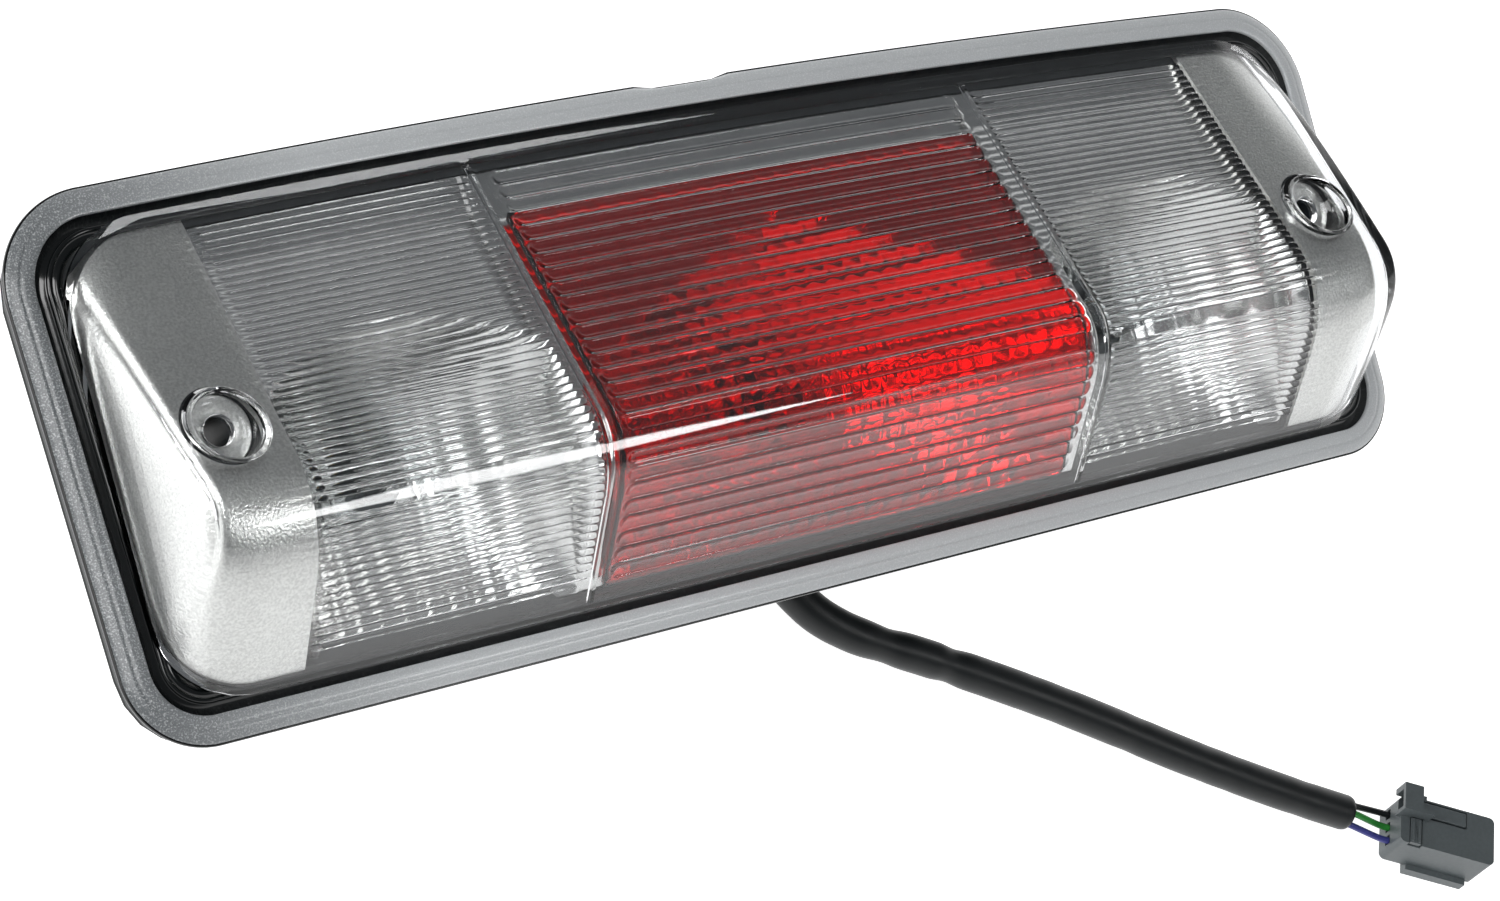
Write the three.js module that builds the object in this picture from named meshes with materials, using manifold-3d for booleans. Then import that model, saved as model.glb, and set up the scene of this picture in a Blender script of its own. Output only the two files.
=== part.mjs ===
// Third brake light for a pickup cab: a red brake lamp between two clear cargo lamps.
// Millimetres. +Z points out of the lamp's face, +Y towards its top edge, and X runs
// along its length. The origin is under the middle of the lamp, where its back rests.

import * as THREE from 'three';
import { mergeVertices } from 'three/addons/utils/BufferGeometryUtils.js';
import Module from 'manifold-3d';

const wasm = await Module();
wasm.setup();

// ---- Overall sizes ----
const LAMP_LENGTH = 368;          // flange, end to end at mid height
const LAMP_WIDTH = 126.5;         // flange, bottom edge to the crown of its top edge
const FACE_Z = 42;                // front of the flange above the back rim
const GAP = 0.3;                  // clearance between pieces that rest on each other

// ---- Outline of the flange ----
const SIDE_SLANT = 1.3;           // each end leans out by this at the top edge
const TOP_ARCH = 3.2;             // rise of the top edge from its ends to its middle
const TOP_CORNER = 22.9;
const BOTTOM_CORNER = 19;
const NOTCH_X = -8.5;             // small relief in the top edge
const NOTCH_LENGTH = 21;
const NOTCH_DEPTH = 1.6;

// ---- Clear lens ----
const FLANGE_THICKNESS = 2.5;
const LENS_WALL = 2.6;
const BODY_INSET_END = 10;        // from the flange's edge to the foot of the lens body
const BODY_INSET_TOP = 9.4;
const BODY_INSET_BOTTOM = 8.8;
const BODY_CORNER = 20;
const TOP_FACE_FOOT = 1.6;        // height of the upper face at its foot, above the flange
const TOP_FACE_SLOPE = 0.4226;
const LOWER_FACE_FOOT = 2.3;
const LOWER_FACE_SLOPE = 1.02;
const RIDGE_BLEND = 14;           // height over which the two faces round into each other
const END_WALL_SLOPE = 5;
const END_BLEND = 6;
const GROOVE_INSET = 6.3;         // from the flange's edge to the groove round the body
const GROOVE_WIDTH = 3;
const GROOVE_DEPTH = 1.1;

// ---- Sections along the lamp ----
const CENTRE_HALF = 71.3;         // half the length of the brake section
const END_CAP_LENGTH = 41.8;      // from the flange's end to the cargo section
const SECTION_RIB = 1.6;

// ---- Mounting screws ----
const SCREW_INSET = 29;
const SCREW_Y = -0.3;
const SEAT_DEPTH = 5.984;         // from the lens's face down to the screw's seat
const COUNTERBORE_R = 7.75;
const SCREW_BORE_R = 3.4;
const BOSS_WALL = 1.9;
const POST_R = 8;                 // housing post behind each screw seat

// ---- Black housing ----
const HOUSING_FLANGE = 2.2;
const HOUSING_WALL = 2.5;
const HOUSING_EDGE_INSET = 0.8;
const TUB_INSET_END = 41;
const TUB_INSET_SIDE = 14.5;
const TUB_CORNER = 14;
const BACK_WALL_Z = 12;           // underside of the back wall, inside the back rim
const CABLE_NOTCH = 13;
const GASKET_THICKNESS = 3.2;
const GASKET_INSET = 1.8;         // from the flange's edge to the foam
const GASKET_BAND = 10;
const BEAD_CLEARANCE = 0.25;
const VENT_STEM_R = 2.2;
const VENT_CAP_R = 6;
const VENT_CAP_HEIGHT = 3.2;
const VENT_FROM_CARGO = 28;       // towards the middle from each cargo bulb
const VENT_Y = 26;

// ---- Reflector and red lens ----
const REFLECTOR_WALL = 1.6;
const END_REFLECTOR_OFFSET = 3.4; // below the lens's outer face, in the end caps
const REFLECTOR_OFFSET = 6.4;     // the same, behind the three lamps
const RED_LENS_OFFSET = 4;
const RED_LENS_WALL = 1.7;
const RED_LENS_TOP = 37;
const RED_LENS_END = 4.7;          // from the end of the brake section to the red lens
const BOWL_VERTEX_Z = 22;
const BOWL_FLOOR_Z = 24.5;
const BRAKE_BOWL = { rx: 66, rimZ: 62 };
const BRAKE_BOWL_ROOM = 7.3875;   // from the brake bowl's side to the housing's wall
const CARGO_BOWL = { rx: 38, ry: 27, rimZ: 57 };
const BULB_HOLE_R = 9.2;

// ---- Bulbs and their twist-in sockets ----
const BRAKE_Y = -13;
const CARGO_Y = -11;
const BULB_R = 7.5;
const BULB_TOP = 47;
const GLASS_WALL = 0.8;
const FOOT_HALF = 7.2;            // half the width of the bulb's pinched foot
const FOOT_THICKNESS = 2.2;
const FILAMENT_Z = 36;
const FILAMENT_HALF = 3.2;
const POST_HALF = 0.35;
const SOCKET_BARREL_R = 11.7;
const SOCKET_DISC_R = 15.5;
const SOCKET_DISC_THICKNESS = 2.6;
const SOCKET_DISC_DROP = 1.9;     // from the back wall to the disc, for the seal
const SOCKET_NECK_R = 10;
const SOCKET_TOP = 22;
const SOCKET_RUNNING = 0.4;       // the barrel's clearance in the back wall
const LUG_REACH = 2.4;
const LUG_WIDTH = 6;
const LUG_TURN = 45;              // degrees from the locked place to the keyways
const GRIP_HALF = 7.2;            // half the width of the finger grip
const GRIP_THICKNESS = 6;
const GRIP_HUB_R = 6.5;
const GRIP_FOOT_Z = 1.4;
const GRIP_SWEEP = 8.6;           // from a socket's middle to where its wires start
const LUG_THICKNESS = 2;
const POCKET_HALF_X = 8.3;        // the slot that takes the bulb's foot and the contacts
const POCKET_HALF_Y = 3.6;
const SEAL_THICKNESS = 1.4;
const CONTACT_X = 4;              // each contact's distance from the socket's middle
const CONTACT_HALF = 1.9;

// ---- Wiring ----
const WIRE_R = 0.9;
const SLEEVE_R = 4.8;
const SLEEVE_Z = 4.95;            // height of its middle as it lies on the table
const CABLE_X = 2.5;              // where the sleeve leaves the lamp
const SLEEVE_TRAIL = [
  [2.5, -36], [2.7, -43], [3.6, -50], [5.6, -56.5], [9, -62.5], [13.6, -68], [20.2, -73.2],
  [28.3, -78], [38.5, -83.3], [50.2, -89.7], [63, -97], [77, -105.3], [92.8, -115.2],
  [109.5, -125.9], [128.2, -137.2], [144, -146.3], [158.3, -154.1],
];
const CARGO_WIRE_Z = { feed: 5.8, ground: 3.2 };
const CARGO_LANE_Y = -29.6;
const CARGO_LANE_END = { feed: 6.2, ground: 3.7 };
const CARGO_WIRE_SPREAD = 2.7;    // from the sleeve's middle line to each pair of cargo wires
const BRAKE_WIRE_Z = 4.4;
const BRAKE_WIRE_END = { feed: 6.8, ground: 2.9 };
const CLIP_Y = -40.4;
const CLIP_LENGTH = 4;
const CLIP_STUD_R = 2;
const CLIP_HALF = 8;
const CLIP_BORE_R = SLEEVE_R + 0.7;
const WIRE_END_GAP = 0.8;         // from the lamp's wires to the sleeve's mouth

// ---- Plug, in its own frame with X towards the mating end ----
const PLUG_AT = [170.6, -162.8, 1.6];
const PLUG_YAW = -31;
const PLUG_PITCH = -14;
const PLUG_ROLL = -12;
const PLUG_LENGTH = 27.8;
const PLUG_WIDTH = 14;
const PLUG_HEIGHT = 12.5;
const PLUG_WALL = 1.5;
const TERMINAL_PITCH = 3.8;
const PARTITION_X = 12;           // back wall of the mouth
const HOOD_X = [-1.2, 7.6];       // it overhangs the plug's back
const HOOD_RISE = 4.6;
const LATCH_Y = 4;
const LATCH_HALF = 2;
const LATCH_WELL = 1.9;           // depth of the slot under the latch
const LATCH_ROOT = [16.8, 19.2];
const LATCH_TAIL_X = 1.2;
const RAIL_FOOT_X = 7.6;          // guide rail along one lower edge
const RAIL_TIP = 2.4;             // from the rail's end to the plug's mating face
const RAIL_REACH = 1.6;
const LOCK_X = [2.9, 6.1];        // secondary lock, in a slot across the top
const LOCK_END_Y = 0.7;
const LOCK_DEPTH = 1.3;
const TERMINAL_FOOT_X = 3.2;
const TERMINAL_TIP = 6;           // from a terminal's end to the plug's mating face
const TERMINAL_Z = [4.1, 5.7];
const WAY_Z = [3.6, 6.2];         // floor and roof of each wire's way
const WAY_HALF = 1.3;

// ---- Fineness ----
const CORNER_STEPS = 5;
const BOWL_SIDES = 20;
const ROUND_SIDES = 16;
const SOCKET_SIDES = 18;

// ---- Worked-out places ----
const HALF_LENGTH = LAMP_LENGTH / 2;
const HALF_WIDTH = LAMP_WIDTH / 2;
const LENS_BACK = FACE_Z - FLANGE_THICKNESS;
const HOUSING_FACE = LENS_BACK - GAP;
const HOUSING_BACK = HOUSING_FACE - HOUSING_FLANGE;
const CARGO_END = HALF_LENGTH - END_CAP_LENGTH;
const CARGO_X = (CENTRE_HALF + CARGO_END) / 2;
const SCREW_X = HALF_LENGTH - SCREW_INSET;
const BOSS_R = COUNTERBORE_R + BOSS_WALL;
const SEAT_Z = FACE_Z + faceHeight(SCREW_Y, SCREW_INSET - BODY_INSET_END, 0) - SEAT_DEPTH;
const SEAT_BACK = SEAT_Z - LENS_WALL;
const TUB_X = HALF_LENGTH - TUB_INSET_END;
const TUB_Y = HALF_WIDTH - TUB_INSET_SIDE;
const BACK_WALL_TOP = BACK_WALL_Z + HOUSING_WALL;
const VENTS = [-1, 1].map((side) => [side * (CARGO_X - VENT_FROM_CARGO), VENT_Y]);
const SLEEVE_ROUTE = SLEEVE_TRAIL.map(([x, y]) => [x, y, SLEEVE_Z]);
const SLEEVE_START = SLEEVE_ROUTE[0];
const TERMINALS = [-TERMINAL_PITCH, 0, TERMINAL_PITCH];
const LUG_ANGLES = [0, 120, 240];
const BRAKE_BOWL_REACH = TUB_Y - HOUSING_WALL - BRAKE_BOWL_ROOM - REFLECTOR_WALL - Math.abs(BRAKE_Y);
const BRAKE_BOWL_RY = BRAKE_BOWL_REACH
  * Math.sqrt((BRAKE_BOWL.rimZ - BOWL_VERTEX_Z) / (HOUSING_FACE - BOWL_VERTEX_Z));
const BELOW = -5;                 // well under everything, for cuts
const ABOVE = 110;                // well over everything, for cuts

const LAMPS = [
  { name: 'brake', x: 0, y: BRAKE_Y, bowl: { ...BRAKE_BOWL, ry: BRAKE_BOWL_RY } },
  { name: 'cargo_left', x: -CARGO_X, y: CARGO_Y, bowl: CARGO_BOWL },
  { name: 'cargo_right', x: CARGO_X, y: CARGO_Y, bowl: CARGO_BOWL },
];

const LOOKS = {
  clear: { color: 0xc9cdcb, roughness: 0.08, metalness: 0 },
  red: { color: 0xb01412, roughness: 0.1, metalness: 0 },
  black: { color: 0x16191a, roughness: 0.5, metalness: 0 },
  foam: { color: 0x0c0f0f, roughness: 0.95, metalness: 0 },
  rubber: { color: 0x141414, roughness: 0.8, metalness: 0 },
  mirror: { color: 0xb9bbb8, roughness: 0.25, metalness: 1 },
  socket: { color: 0x55595a, roughness: 0.55, metalness: 0 },
  glass: { color: 0xe8edf0, roughness: 0.03, metalness: 0 },
  metal: { color: 0x9a9a98, roughness: 0.35, metalness: 1 },
  brass: { color: 0xb08a4a, roughness: 0.35, metalness: 1 },
  plug: { color: 0x6c7071, roughness: 0.5, metalness: 0 },
  sleeve: { color: 0x10191c, roughness: 0.35, metalness: 0 },
  green: { color: 0x2f8a2f, roughness: 0.4, metalness: 0 },
  blue: { color: 0x3a3a7a, roughness: 0.4, metalness: 0 },
  wireBlack: { color: 0x111111, roughness: 0.4, metalness: 0 },
};

// ---- Solids from three.js geometry ----

// A closed geometry as a solid, with its shared corners merged and its faces outward.
function solid(geometry) {
  const bare = geometry.clone();
  bare.deleteAttribute('normal');
  bare.deleteAttribute('uv');
  const merged = mergeVertices(bare, 1e-4);
  const vertProperties = new Float32Array(merged.attributes.position.array);
  const corners = [];
  const index = merged.index.array;
  let volume = 0;
  for (let i = 0; i < index.length; i += 3) {
    const [a, b, c] = [index[i], index[i + 1], index[i + 2]];
    if (a === b || b === c || c === a) continue;
    corners.push(a, b, c);
    const [p, q, r] = [a, b, c].map((k) => new THREE.Vector3().fromArray(vertProperties, 3 * k));
    volume += p.dot(q.cross(r));
  }
  if (volume < 0) corners.reverse();
  const triVerts = new Uint32Array(corners);
  return new wasm.Manifold(new wasm.Mesh({ numProp: 3, vertProperties, triVerts }));
}

// A solid's surface as a geometry again.
function surface(body) {
  const mesh = body.getMesh();
  const geometry = new THREE.BufferGeometry();
  geometry.setAttribute('position', new THREE.BufferAttribute(mesh.vertProperties, 3));
  geometry.setIndex(new THREE.BufferAttribute(mesh.triVerts, 1));
  return geometry;
}

function joined(...bodies) {
  return bodies.reduce((whole, body) => whole.add(body));
}

function cutFrom(body, ...cutters) {
  return cutters.reduce((rest, cutter) => rest.subtract(cutter), body);
}

function block(x0, x1, y0, y1, z0, z1) {
  const geometry = new THREE.BoxGeometry(x1 - x0, y1 - y0, z1 - z0);
  geometry.translate((x0 + x1) / 2, (y0 + y1) / 2, (z0 + z1) / 2);
  return solid(geometry);
}

function upright(radius, z0, z1, x = 0, y = 0, sides = ROUND_SIDES) {
  const geometry = new THREE.CylinderGeometry(radius, radius, z1 - z0, sides);
  geometry.rotateX(Math.PI / 2);
  geometry.translate(x, y, (z0 + z1) / 2);
  return solid(geometry);
}

// A profile of [radius, z] points turned round a vertical axis, stretched by scaleX.
function turned(profile, x = 0, y = 0, sides = ROUND_SIDES, scaleX = 1) {
  const points = profile.map(([r, z]) => new THREE.Vector2(r, z));
  const geometry = new THREE.LatheGeometry(points, sides);
  geometry.rotateX(Math.PI / 2);
  geometry.scale(scaleX, 1, 1);
  geometry.translate(x, y, 0);
  return solid(geometry);
}

function raised(shape, z0, z1) {
  const options = { depth: z1 - z0, bevelEnabled: false, curveSegments: CORNER_STEPS };
  const geometry = new THREE.ExtrudeGeometry(shape, options);
  geometry.translate(0, 0, z0);
  return solid(geometry);
}

// A round tube of the given radius along a smooth curve through points.
function tube(points, radius, steps, sides = 8) {
  const section = new THREE.Shape();
  for (let i = 0; i < sides; i += 1) {
    const angle = (2 * Math.PI * (i + 0.5)) / sides;
    const corner = [radius * Math.cos(angle), radius * Math.sin(angle)];
    if (i === 0) section.moveTo(...corner);
    else section.lineTo(...corner);
  }
  section.closePath();
  const path = new THREE.CatmullRomCurve3(points.map((p) => new THREE.Vector3(...p)));
  return solid(new THREE.ExtrudeGeometry(section, { steps, extrudePath: path, bevelEnabled: false }));
}

// ---- Outlines ----

// The flange's outline, moved in from its edge by inset.
function flangeOutline(inset) {
  const kappa = 0.5523;
  const top = HALF_WIDTH - inset - TOP_ARCH;
  const bottom = -HALF_WIDTH + inset;
  const topHalf = HALF_LENGTH + SIDE_SLANT - inset;
  const bottomHalf = HALF_LENGTH - SIDE_SLANT - inset;
  const rt = Math.max(TOP_CORNER - inset, 3);
  const rb = Math.max(BOTTOM_CORNER - inset, 3);
  const shape = new THREE.Shape();
  shape.moveTo(-bottomHalf + rb, bottom);
  shape.lineTo(bottomHalf - rb, bottom);
  shape.bezierCurveTo(bottomHalf - rb * (1 - kappa), bottom, bottomHalf, bottom + rb * (1 - kappa),
    bottomHalf, bottom + rb);
  shape.lineTo(topHalf, top - rt);
  shape.bezierCurveTo(topHalf, top - rt * (1 - kappa), topHalf - rt * (1 - kappa), top,
    topHalf - rt, top);
  shape.quadraticCurveTo(0, top + 2 * TOP_ARCH, -topHalf + rt, top);
  shape.bezierCurveTo(-topHalf + rt * (1 - kappa), top, -topHalf, top - rt * (1 - kappa),
    -topHalf, top - rt);
  shape.lineTo(-bottomHalf, bottom + rb);
  shape.bezierCurveTo(-bottomHalf, bottom + rb * (1 - kappa), -bottomHalf + rb * (1 - kappa), bottom,
    -bottomHalf + rb, bottom);
  return shape;
}

function roundedRectangle(halfX, halfY, radius) {
  const shape = new THREE.Shape();
  const r = Math.max(radius, 1);
  shape.moveTo(-halfX + r, -halfY);
  shape.lineTo(halfX - r, -halfY);
  shape.absarc(halfX - r, -halfY + r, r, -Math.PI / 2, 0);
  shape.lineTo(halfX, halfY - r);
  shape.absarc(halfX - r, halfY - r, r, 0, Math.PI / 2);
  shape.lineTo(-halfX + r, halfY);
  shape.absarc(-halfX + r, halfY - r, r, Math.PI / 2, Math.PI);
  shape.lineTo(-halfX, -halfY + r);
  shape.absarc(-halfX + r, -halfY + r, r, Math.PI, 1.5 * Math.PI);
  return shape;
}

// ---- The lens body's shape ----

// The lower of two heights, rounded where they cross.
function blendedMinimum(a, b, blend) {
  const nearness = Math.max(blend - Math.abs(a - b), 0) / blend;
  return Math.min(a, b) - (nearness * nearness * blend) / 4;
}

// Height above the flange of a sheet that lies offset under the lens's outer face.
// y is measured on the middle section, and fromEnd is the distance from the body's end.
function faceHeight(y, fromEnd, offset) {
  const footTop = HALF_WIDTH - BODY_INSET_TOP;
  const footBottom = -HALF_WIDTH + BODY_INSET_BOTTOM;
  const upper = TOP_FACE_FOOT + TOP_FACE_SLOPE * (footTop - y) - offset * Math.hypot(1, TOP_FACE_SLOPE);
  const lower = LOWER_FACE_FOOT + LOWER_FACE_SLOPE * (y - footBottom)
    - offset * Math.hypot(1, LOWER_FACE_SLOPE);
  const end = END_WALL_SLOPE * fromEnd - offset * Math.hypot(1, END_WALL_SLOPE);
  return blendedMinimum(blendedMinimum(upper, lower, RIDGE_BLEND), end, END_BLEND);
}

// Stations across the body: sparse on its two faces and close together over the ridge.
function stationsAcross(bottom, top) {
  const rise = TOP_FACE_FOOT - LOWER_FACE_FOOT
    + TOP_FACE_SLOPE * (HALF_WIDTH - BODY_INSET_TOP) - LOWER_FACE_SLOPE * (HALF_WIDTH - BODY_INSET_BOTTOM);
  const ridge = rise / (TOP_FACE_SLOPE + LOWER_FACE_SLOPE);
  const stations = [bottom, (bottom + ridge - 9) / 2];
  for (let step = -3; step <= 3; step += 1) stations.push(ridge + 3.2 * step);
  for (const share of [0.25, 0.6, 0.85, 1]) stations.push(ridge + 9.6 + share * (top - ridge - 9.6));
  return stations;
}

// Solid under a sheet that lies offset inside the lens's outer face, down to baseZ.
function bodyUnder(offset, baseZ) {
  const halfX = HALF_LENGTH - BODY_INSET_END - offset;
  const top = HALF_WIDTH - BODY_INSET_TOP - offset;
  const bottom = -HALF_WIDTH + BODY_INSET_BOTTOM + offset;
  const corner = Math.max(BODY_CORNER - offset, 4);
  const stations = stationsAcross(bottom, top);
  const across = stations.length + 2;
  const fromEnds = [0, 0.8, 2, 3.6, 5.8, 8.6, 12.5, corner, corner + 12];
  const places = [...fromEnds.map((d) => [-halfX + d, d]), ...fromEnds.reverse().map((d) => [halfX - d, d])];
  const positions = [];
  for (const [x, fromEnd] of places) {
    const inward = Math.max(corner - fromEnd, 0);
    const drop = corner - Math.sqrt(corner * corner - inward * inward);
    const arch = TOP_ARCH * (x / halfX) ** 2;
    const low = bottom + drop;
    const high = top - drop - arch;
    positions.push(x, low, baseZ);
    for (const station of stations) {
      const y = low + ((station - bottom) / (top - bottom)) * (high - low);
      const height = FACE_Z + faceHeight(station, fromEnd + offset, offset);
      positions.push(x, y, Math.max(height, baseZ + 0.2));
    }
    positions.push(x, high, baseZ);
  }
  const triangles = [];
  for (let i = 0; i + 1 < places.length; i += 1) {
    for (let j = 0; j < across; j += 1) {
      const next = (j + 1) % across;
      const [a, b, c, d] = [i * across + j, i * across + next, (i + 1) * across + next, (i + 1) * across + j];
      triangles.push(a, b, c, a, c, d);
    }
  }
  const last = (places.length - 1) * across;
  for (let j = 1; j + 1 < across; j += 1) {
    triangles.push(0, j + 1, j);
    triangles.push(last, last + j, last + j + 1);
  }
  const geometry = new THREE.BufferGeometry();
  geometry.setAttribute('position', new THREE.Float32BufferAttribute(positions, 3));
  geometry.setIndex(triangles);
  return solid(geometry);
}

// ---- Front pieces ----

function makeOuterLens() {
  const flange = raised(flangeOutline(0), LENS_BACK, FACE_Z);
  const shell = cutFrom(joined(flange, bodyUnder(0, LENS_BACK)), bodyUnder(LENS_WALL, LENS_BACK - 1));
  const outer = bodyUnder(0, LENS_BACK);
  const groove = cutFrom(raised(flangeOutline(GROOVE_INSET), FACE_Z - GROOVE_DEPTH, FACE_Z + 1),
    raised(flangeOutline(GROOVE_INSET + GROOVE_WIDTH), FACE_Z - GROOVE_DEPTH - 1, FACE_Z + 2));
  const notch = block(NOTCH_X - NOTCH_LENGTH / 2, NOTCH_X + NOTCH_LENGTH / 2,
    HALF_WIDTH - NOTCH_DEPTH, HALF_WIDTH + 5, BELOW, ABOVE);
  let lens = cutFrom(shell, cutFrom(groove, outer), notch);
  for (const x of [-SCREW_X, SCREW_X]) {
    lens = lens.add(upright(BOSS_R, SEAT_BACK, ABOVE, x, SCREW_Y).intersect(outer));
    lens = cutFrom(lens, upright(COUNTERBORE_R, SEAT_Z, ABOVE, x, SCREW_Y),
      upright(SCREW_BORE_R, BELOW, ABOVE, x, SCREW_Y));
  }
  return lens;
}

// A ring under the groove, between two insets of the flange's outline.
function groundRing(inset, width, z0, z1) {
  return cutFrom(raised(flangeOutline(inset), z0, z1),
    raised(flangeOutline(inset + width), z0 - 1, z1 + 1));
}

function makeLensSeal() {
  return groundRing(GROOVE_INSET, GROOVE_WIDTH, HOUSING_FACE - 1, HOUSING_FACE + GAP / 2);
}

// Paraboloid that reaches radius ry at rimZ, carried on past its rim.
function bowlSolid(lamp, growth, floorZ) {
  const { rx, ry, rimZ } = lamp.bowl;
  const focusTerm = (ry * ry) / (rimZ - BOWL_VERTEX_Z);
  const profile = [[0, floorZ]];
  const levels = 5;
  const topZ = rimZ + 14;
  for (let i = 0; i < levels; i += 1) {
    const z = BOWL_FLOOR_Z + (topZ - BOWL_FLOOR_Z) * (i / (levels - 1)) ** 1.6;
    profile.push([Math.sqrt(focusTerm * (z - BOWL_VERTEX_Z)) + growth, i === 0 ? floorZ : z]);
  }
  profile.push([0, topZ]);
  return turned(profile, lamp.x, lamp.y, BOWL_SIDES, rx / ry);
}

// The reflector's outer form: higher in the end caps than behind the lamps.
function reflectorForm(depth, baseZ) {
  const step = CARGO_END + 0.6 + depth;
  const middle = bodyUnder(REFLECTOR_OFFSET + depth, baseZ).intersect(
    block(-step - 0.3, step + 0.3, -HALF_WIDTH, HALF_WIDTH, BELOW, ABOVE));
  const ends = bodyUnder(END_REFLECTOR_OFFSET + depth, baseZ).subtract(
    block(-step, step, -HALF_WIDTH, HALF_WIDTH, BELOW, ABOVE));
  return joined(middle, ends);
}

function makeReflector() {
  const rimZ = LENS_BACK + 0.2;
  const plate = reflectorForm(0, rimZ).subtract(reflectorForm(REFLECTOR_WALL, rimZ - 1));
  const envelope = bodyUnder(REFLECTOR_OFFSET, BOWL_FLOOR_Z - 8);
  const ribRoom = bodyUnder(LENS_WALL + 0.6, rimZ);
  let reflector = plate;
  for (const x of [-CENTRE_HALF, CENTRE_HALF]) {
    const rib = block(x - SECTION_RIB / 2, x + SECTION_RIB / 2, -HALF_WIDTH, HALF_WIDTH, rimZ, ABOVE);
    reflector = reflector.add(rib.intersect(ribRoom).subtract(bodyUnder(REFLECTOR_OFFSET + 1, rimZ - 1)));
  }
  for (const lamp of LAMPS) {
    const limitX = lamp.name === 'brake' ? CENTRE_HALF - SECTION_RIB / 2 : (CARGO_END - CENTRE_HALF) / 2 - 1;
    const room = block(lamp.x - limitX, lamp.x + limitX, -HALF_WIDTH, HALF_WIDTH, BELOW, ABOVE);
    const cavity = bowlSolid(lamp, 0, BOWL_FLOOR_Z).intersect(room);
    const shellRoom = block(lamp.x - limitX - REFLECTOR_WALL, lamp.x + limitX + REFLECTOR_WALL,
      -HALF_WIDTH, HALF_WIDTH, BELOW, ABOVE);
    const shell = bowlSolid(lamp, REFLECTOR_WALL, BOWL_FLOOR_Z - REFLECTOR_WALL).intersect(shellRoom);
    reflector = reflector.add(shell.intersect(envelope)).subtract(cavity);
    reflector = cutFrom(reflector, upright(BULB_HOLE_R, BELOW, BOWL_FLOOR_Z + 1, lamp.x, lamp.y),
      upright(BULB_R + GAP, BELOW, BULB_TOP + GAP, lamp.x, lamp.y));
  }
  for (const x of [-SCREW_X, SCREW_X]) {
    reflector = reflector.subtract(upright(BOSS_R + 0.6, BELOW, ABOVE, x, SCREW_Y));
  }
  return reflector;
}

function makeRedInnerLens() {
  const sheet = bodyUnder(RED_LENS_OFFSET, LENS_BACK).subtract(
    bodyUnder(RED_LENS_OFFSET + RED_LENS_WALL, LENS_BACK - 1));
  const halfX = CENTRE_HALF - RED_LENS_END;
  return sheet.intersect(block(-halfX, halfX, -HALF_WIDTH, RED_LENS_TOP, FACE_Z + 1, ABOVE));
}

// ---- Housing and what it carries ----

// Keyways let the three lugs of a socket through the back wall.
function keyways(lamp) {
  const reach = SOCKET_BARREL_R + LUG_REACH + SOCKET_RUNNING;
  const half = LUG_WIDTH / 2 + SOCKET_RUNNING;
  const slots = LUG_ANGLES.map((angle) => {
    const geometry = new THREE.BoxGeometry(reach, 2 * half, HOUSING_WALL + 2);
    geometry.translate(reach / 2, 0, BACK_WALL_Z + HOUSING_WALL / 2);
    geometry.rotateZ(THREE.MathUtils.degToRad(angle - LUG_TURN));
    geometry.translate(lamp.x, lamp.y, 0);
    return solid(geometry);
  });
  return joined(...slots);
}

function makeHousing() {
  const tubOuter = raised(roundedRectangle(TUB_X, TUB_Y, TUB_CORNER), 0, HOUSING_FACE);
  const wall = HOUSING_WALL;
  const innerOutline = roundedRectangle(TUB_X - wall, TUB_Y - wall, TUB_CORNER - wall);
  const flange = raised(flangeOutline(HOUSING_EDGE_INSET), HOUSING_BACK, HOUSING_FACE);
  const postTop = SEAT_BACK - GAP;
  const posts = [-SCREW_X, SCREW_X].map((x) => upright(POST_R, HOUSING_BACK, postTop, x, SCREW_Y));
  const channel = groundRing(GROOVE_INSET - BEAD_CLEARANCE, GROOVE_WIDTH + 2 * BEAD_CLEARANCE,
    HOUSING_FACE - 1 - BEAD_CLEARANCE, ABOVE);
  const notch = block(CABLE_X - CABLE_NOTCH / 2, CABLE_X + CABLE_NOTCH / 2,
    -HALF_WIDTH, -TUB_Y + HOUSING_WALL + 3, BELOW, BACK_WALL_Z - 0.5);
  const front = raised(innerOutline, BACK_WALL_TOP, HOUSING_FACE + 1);
  const back = raised(innerOutline, BELOW, BACK_WALL_Z);
  let housing = cutFrom(joined(tubOuter, flange, ...posts), front, back, channel, notch);
  for (const lamp of LAMPS) {
    const hole = upright(SOCKET_BARREL_R + SOCKET_RUNNING, BELOW, BACK_WALL_TOP + 1, lamp.x, lamp.y);
    housing = cutFrom(housing, hole, keyways(lamp));
  }
  for (const x of [-SCREW_X, SCREW_X]) {
    housing = housing.subtract(upright(SCREW_BORE_R, BELOW, ABOVE, x, SCREW_Y));
  }
  for (const [x, y] of VENTS) {
    housing = housing.subtract(upright(VENT_STEM_R + GAP, BELOW, BACK_WALL_TOP + 1, x, y));
  }
  const studHole = upright(CLIP_STUD_R + GAP, BELOW, BACK_WALL_TOP + 1, CABLE_X, CLIP_Y);
  return housing.subtract(studHole);
}

function makeGasket() {
  const z1 = HOUSING_BACK - GAP;
  return groundRing(GASKET_INSET, GASKET_BAND, z1 - GASKET_THICKNESS, z1);
}

// A breather cap with a stem through the back wall.
function makeVent([x, y]) {
  const top = BACK_WALL_Z - GAP;
  const cap = upright(VENT_CAP_R, top - VENT_CAP_HEIGHT, top, x, y);
  return joined(cap, upright(VENT_STEM_R, top - 1, BACK_WALL_TOP + 2, x, y, 12));
}

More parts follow.
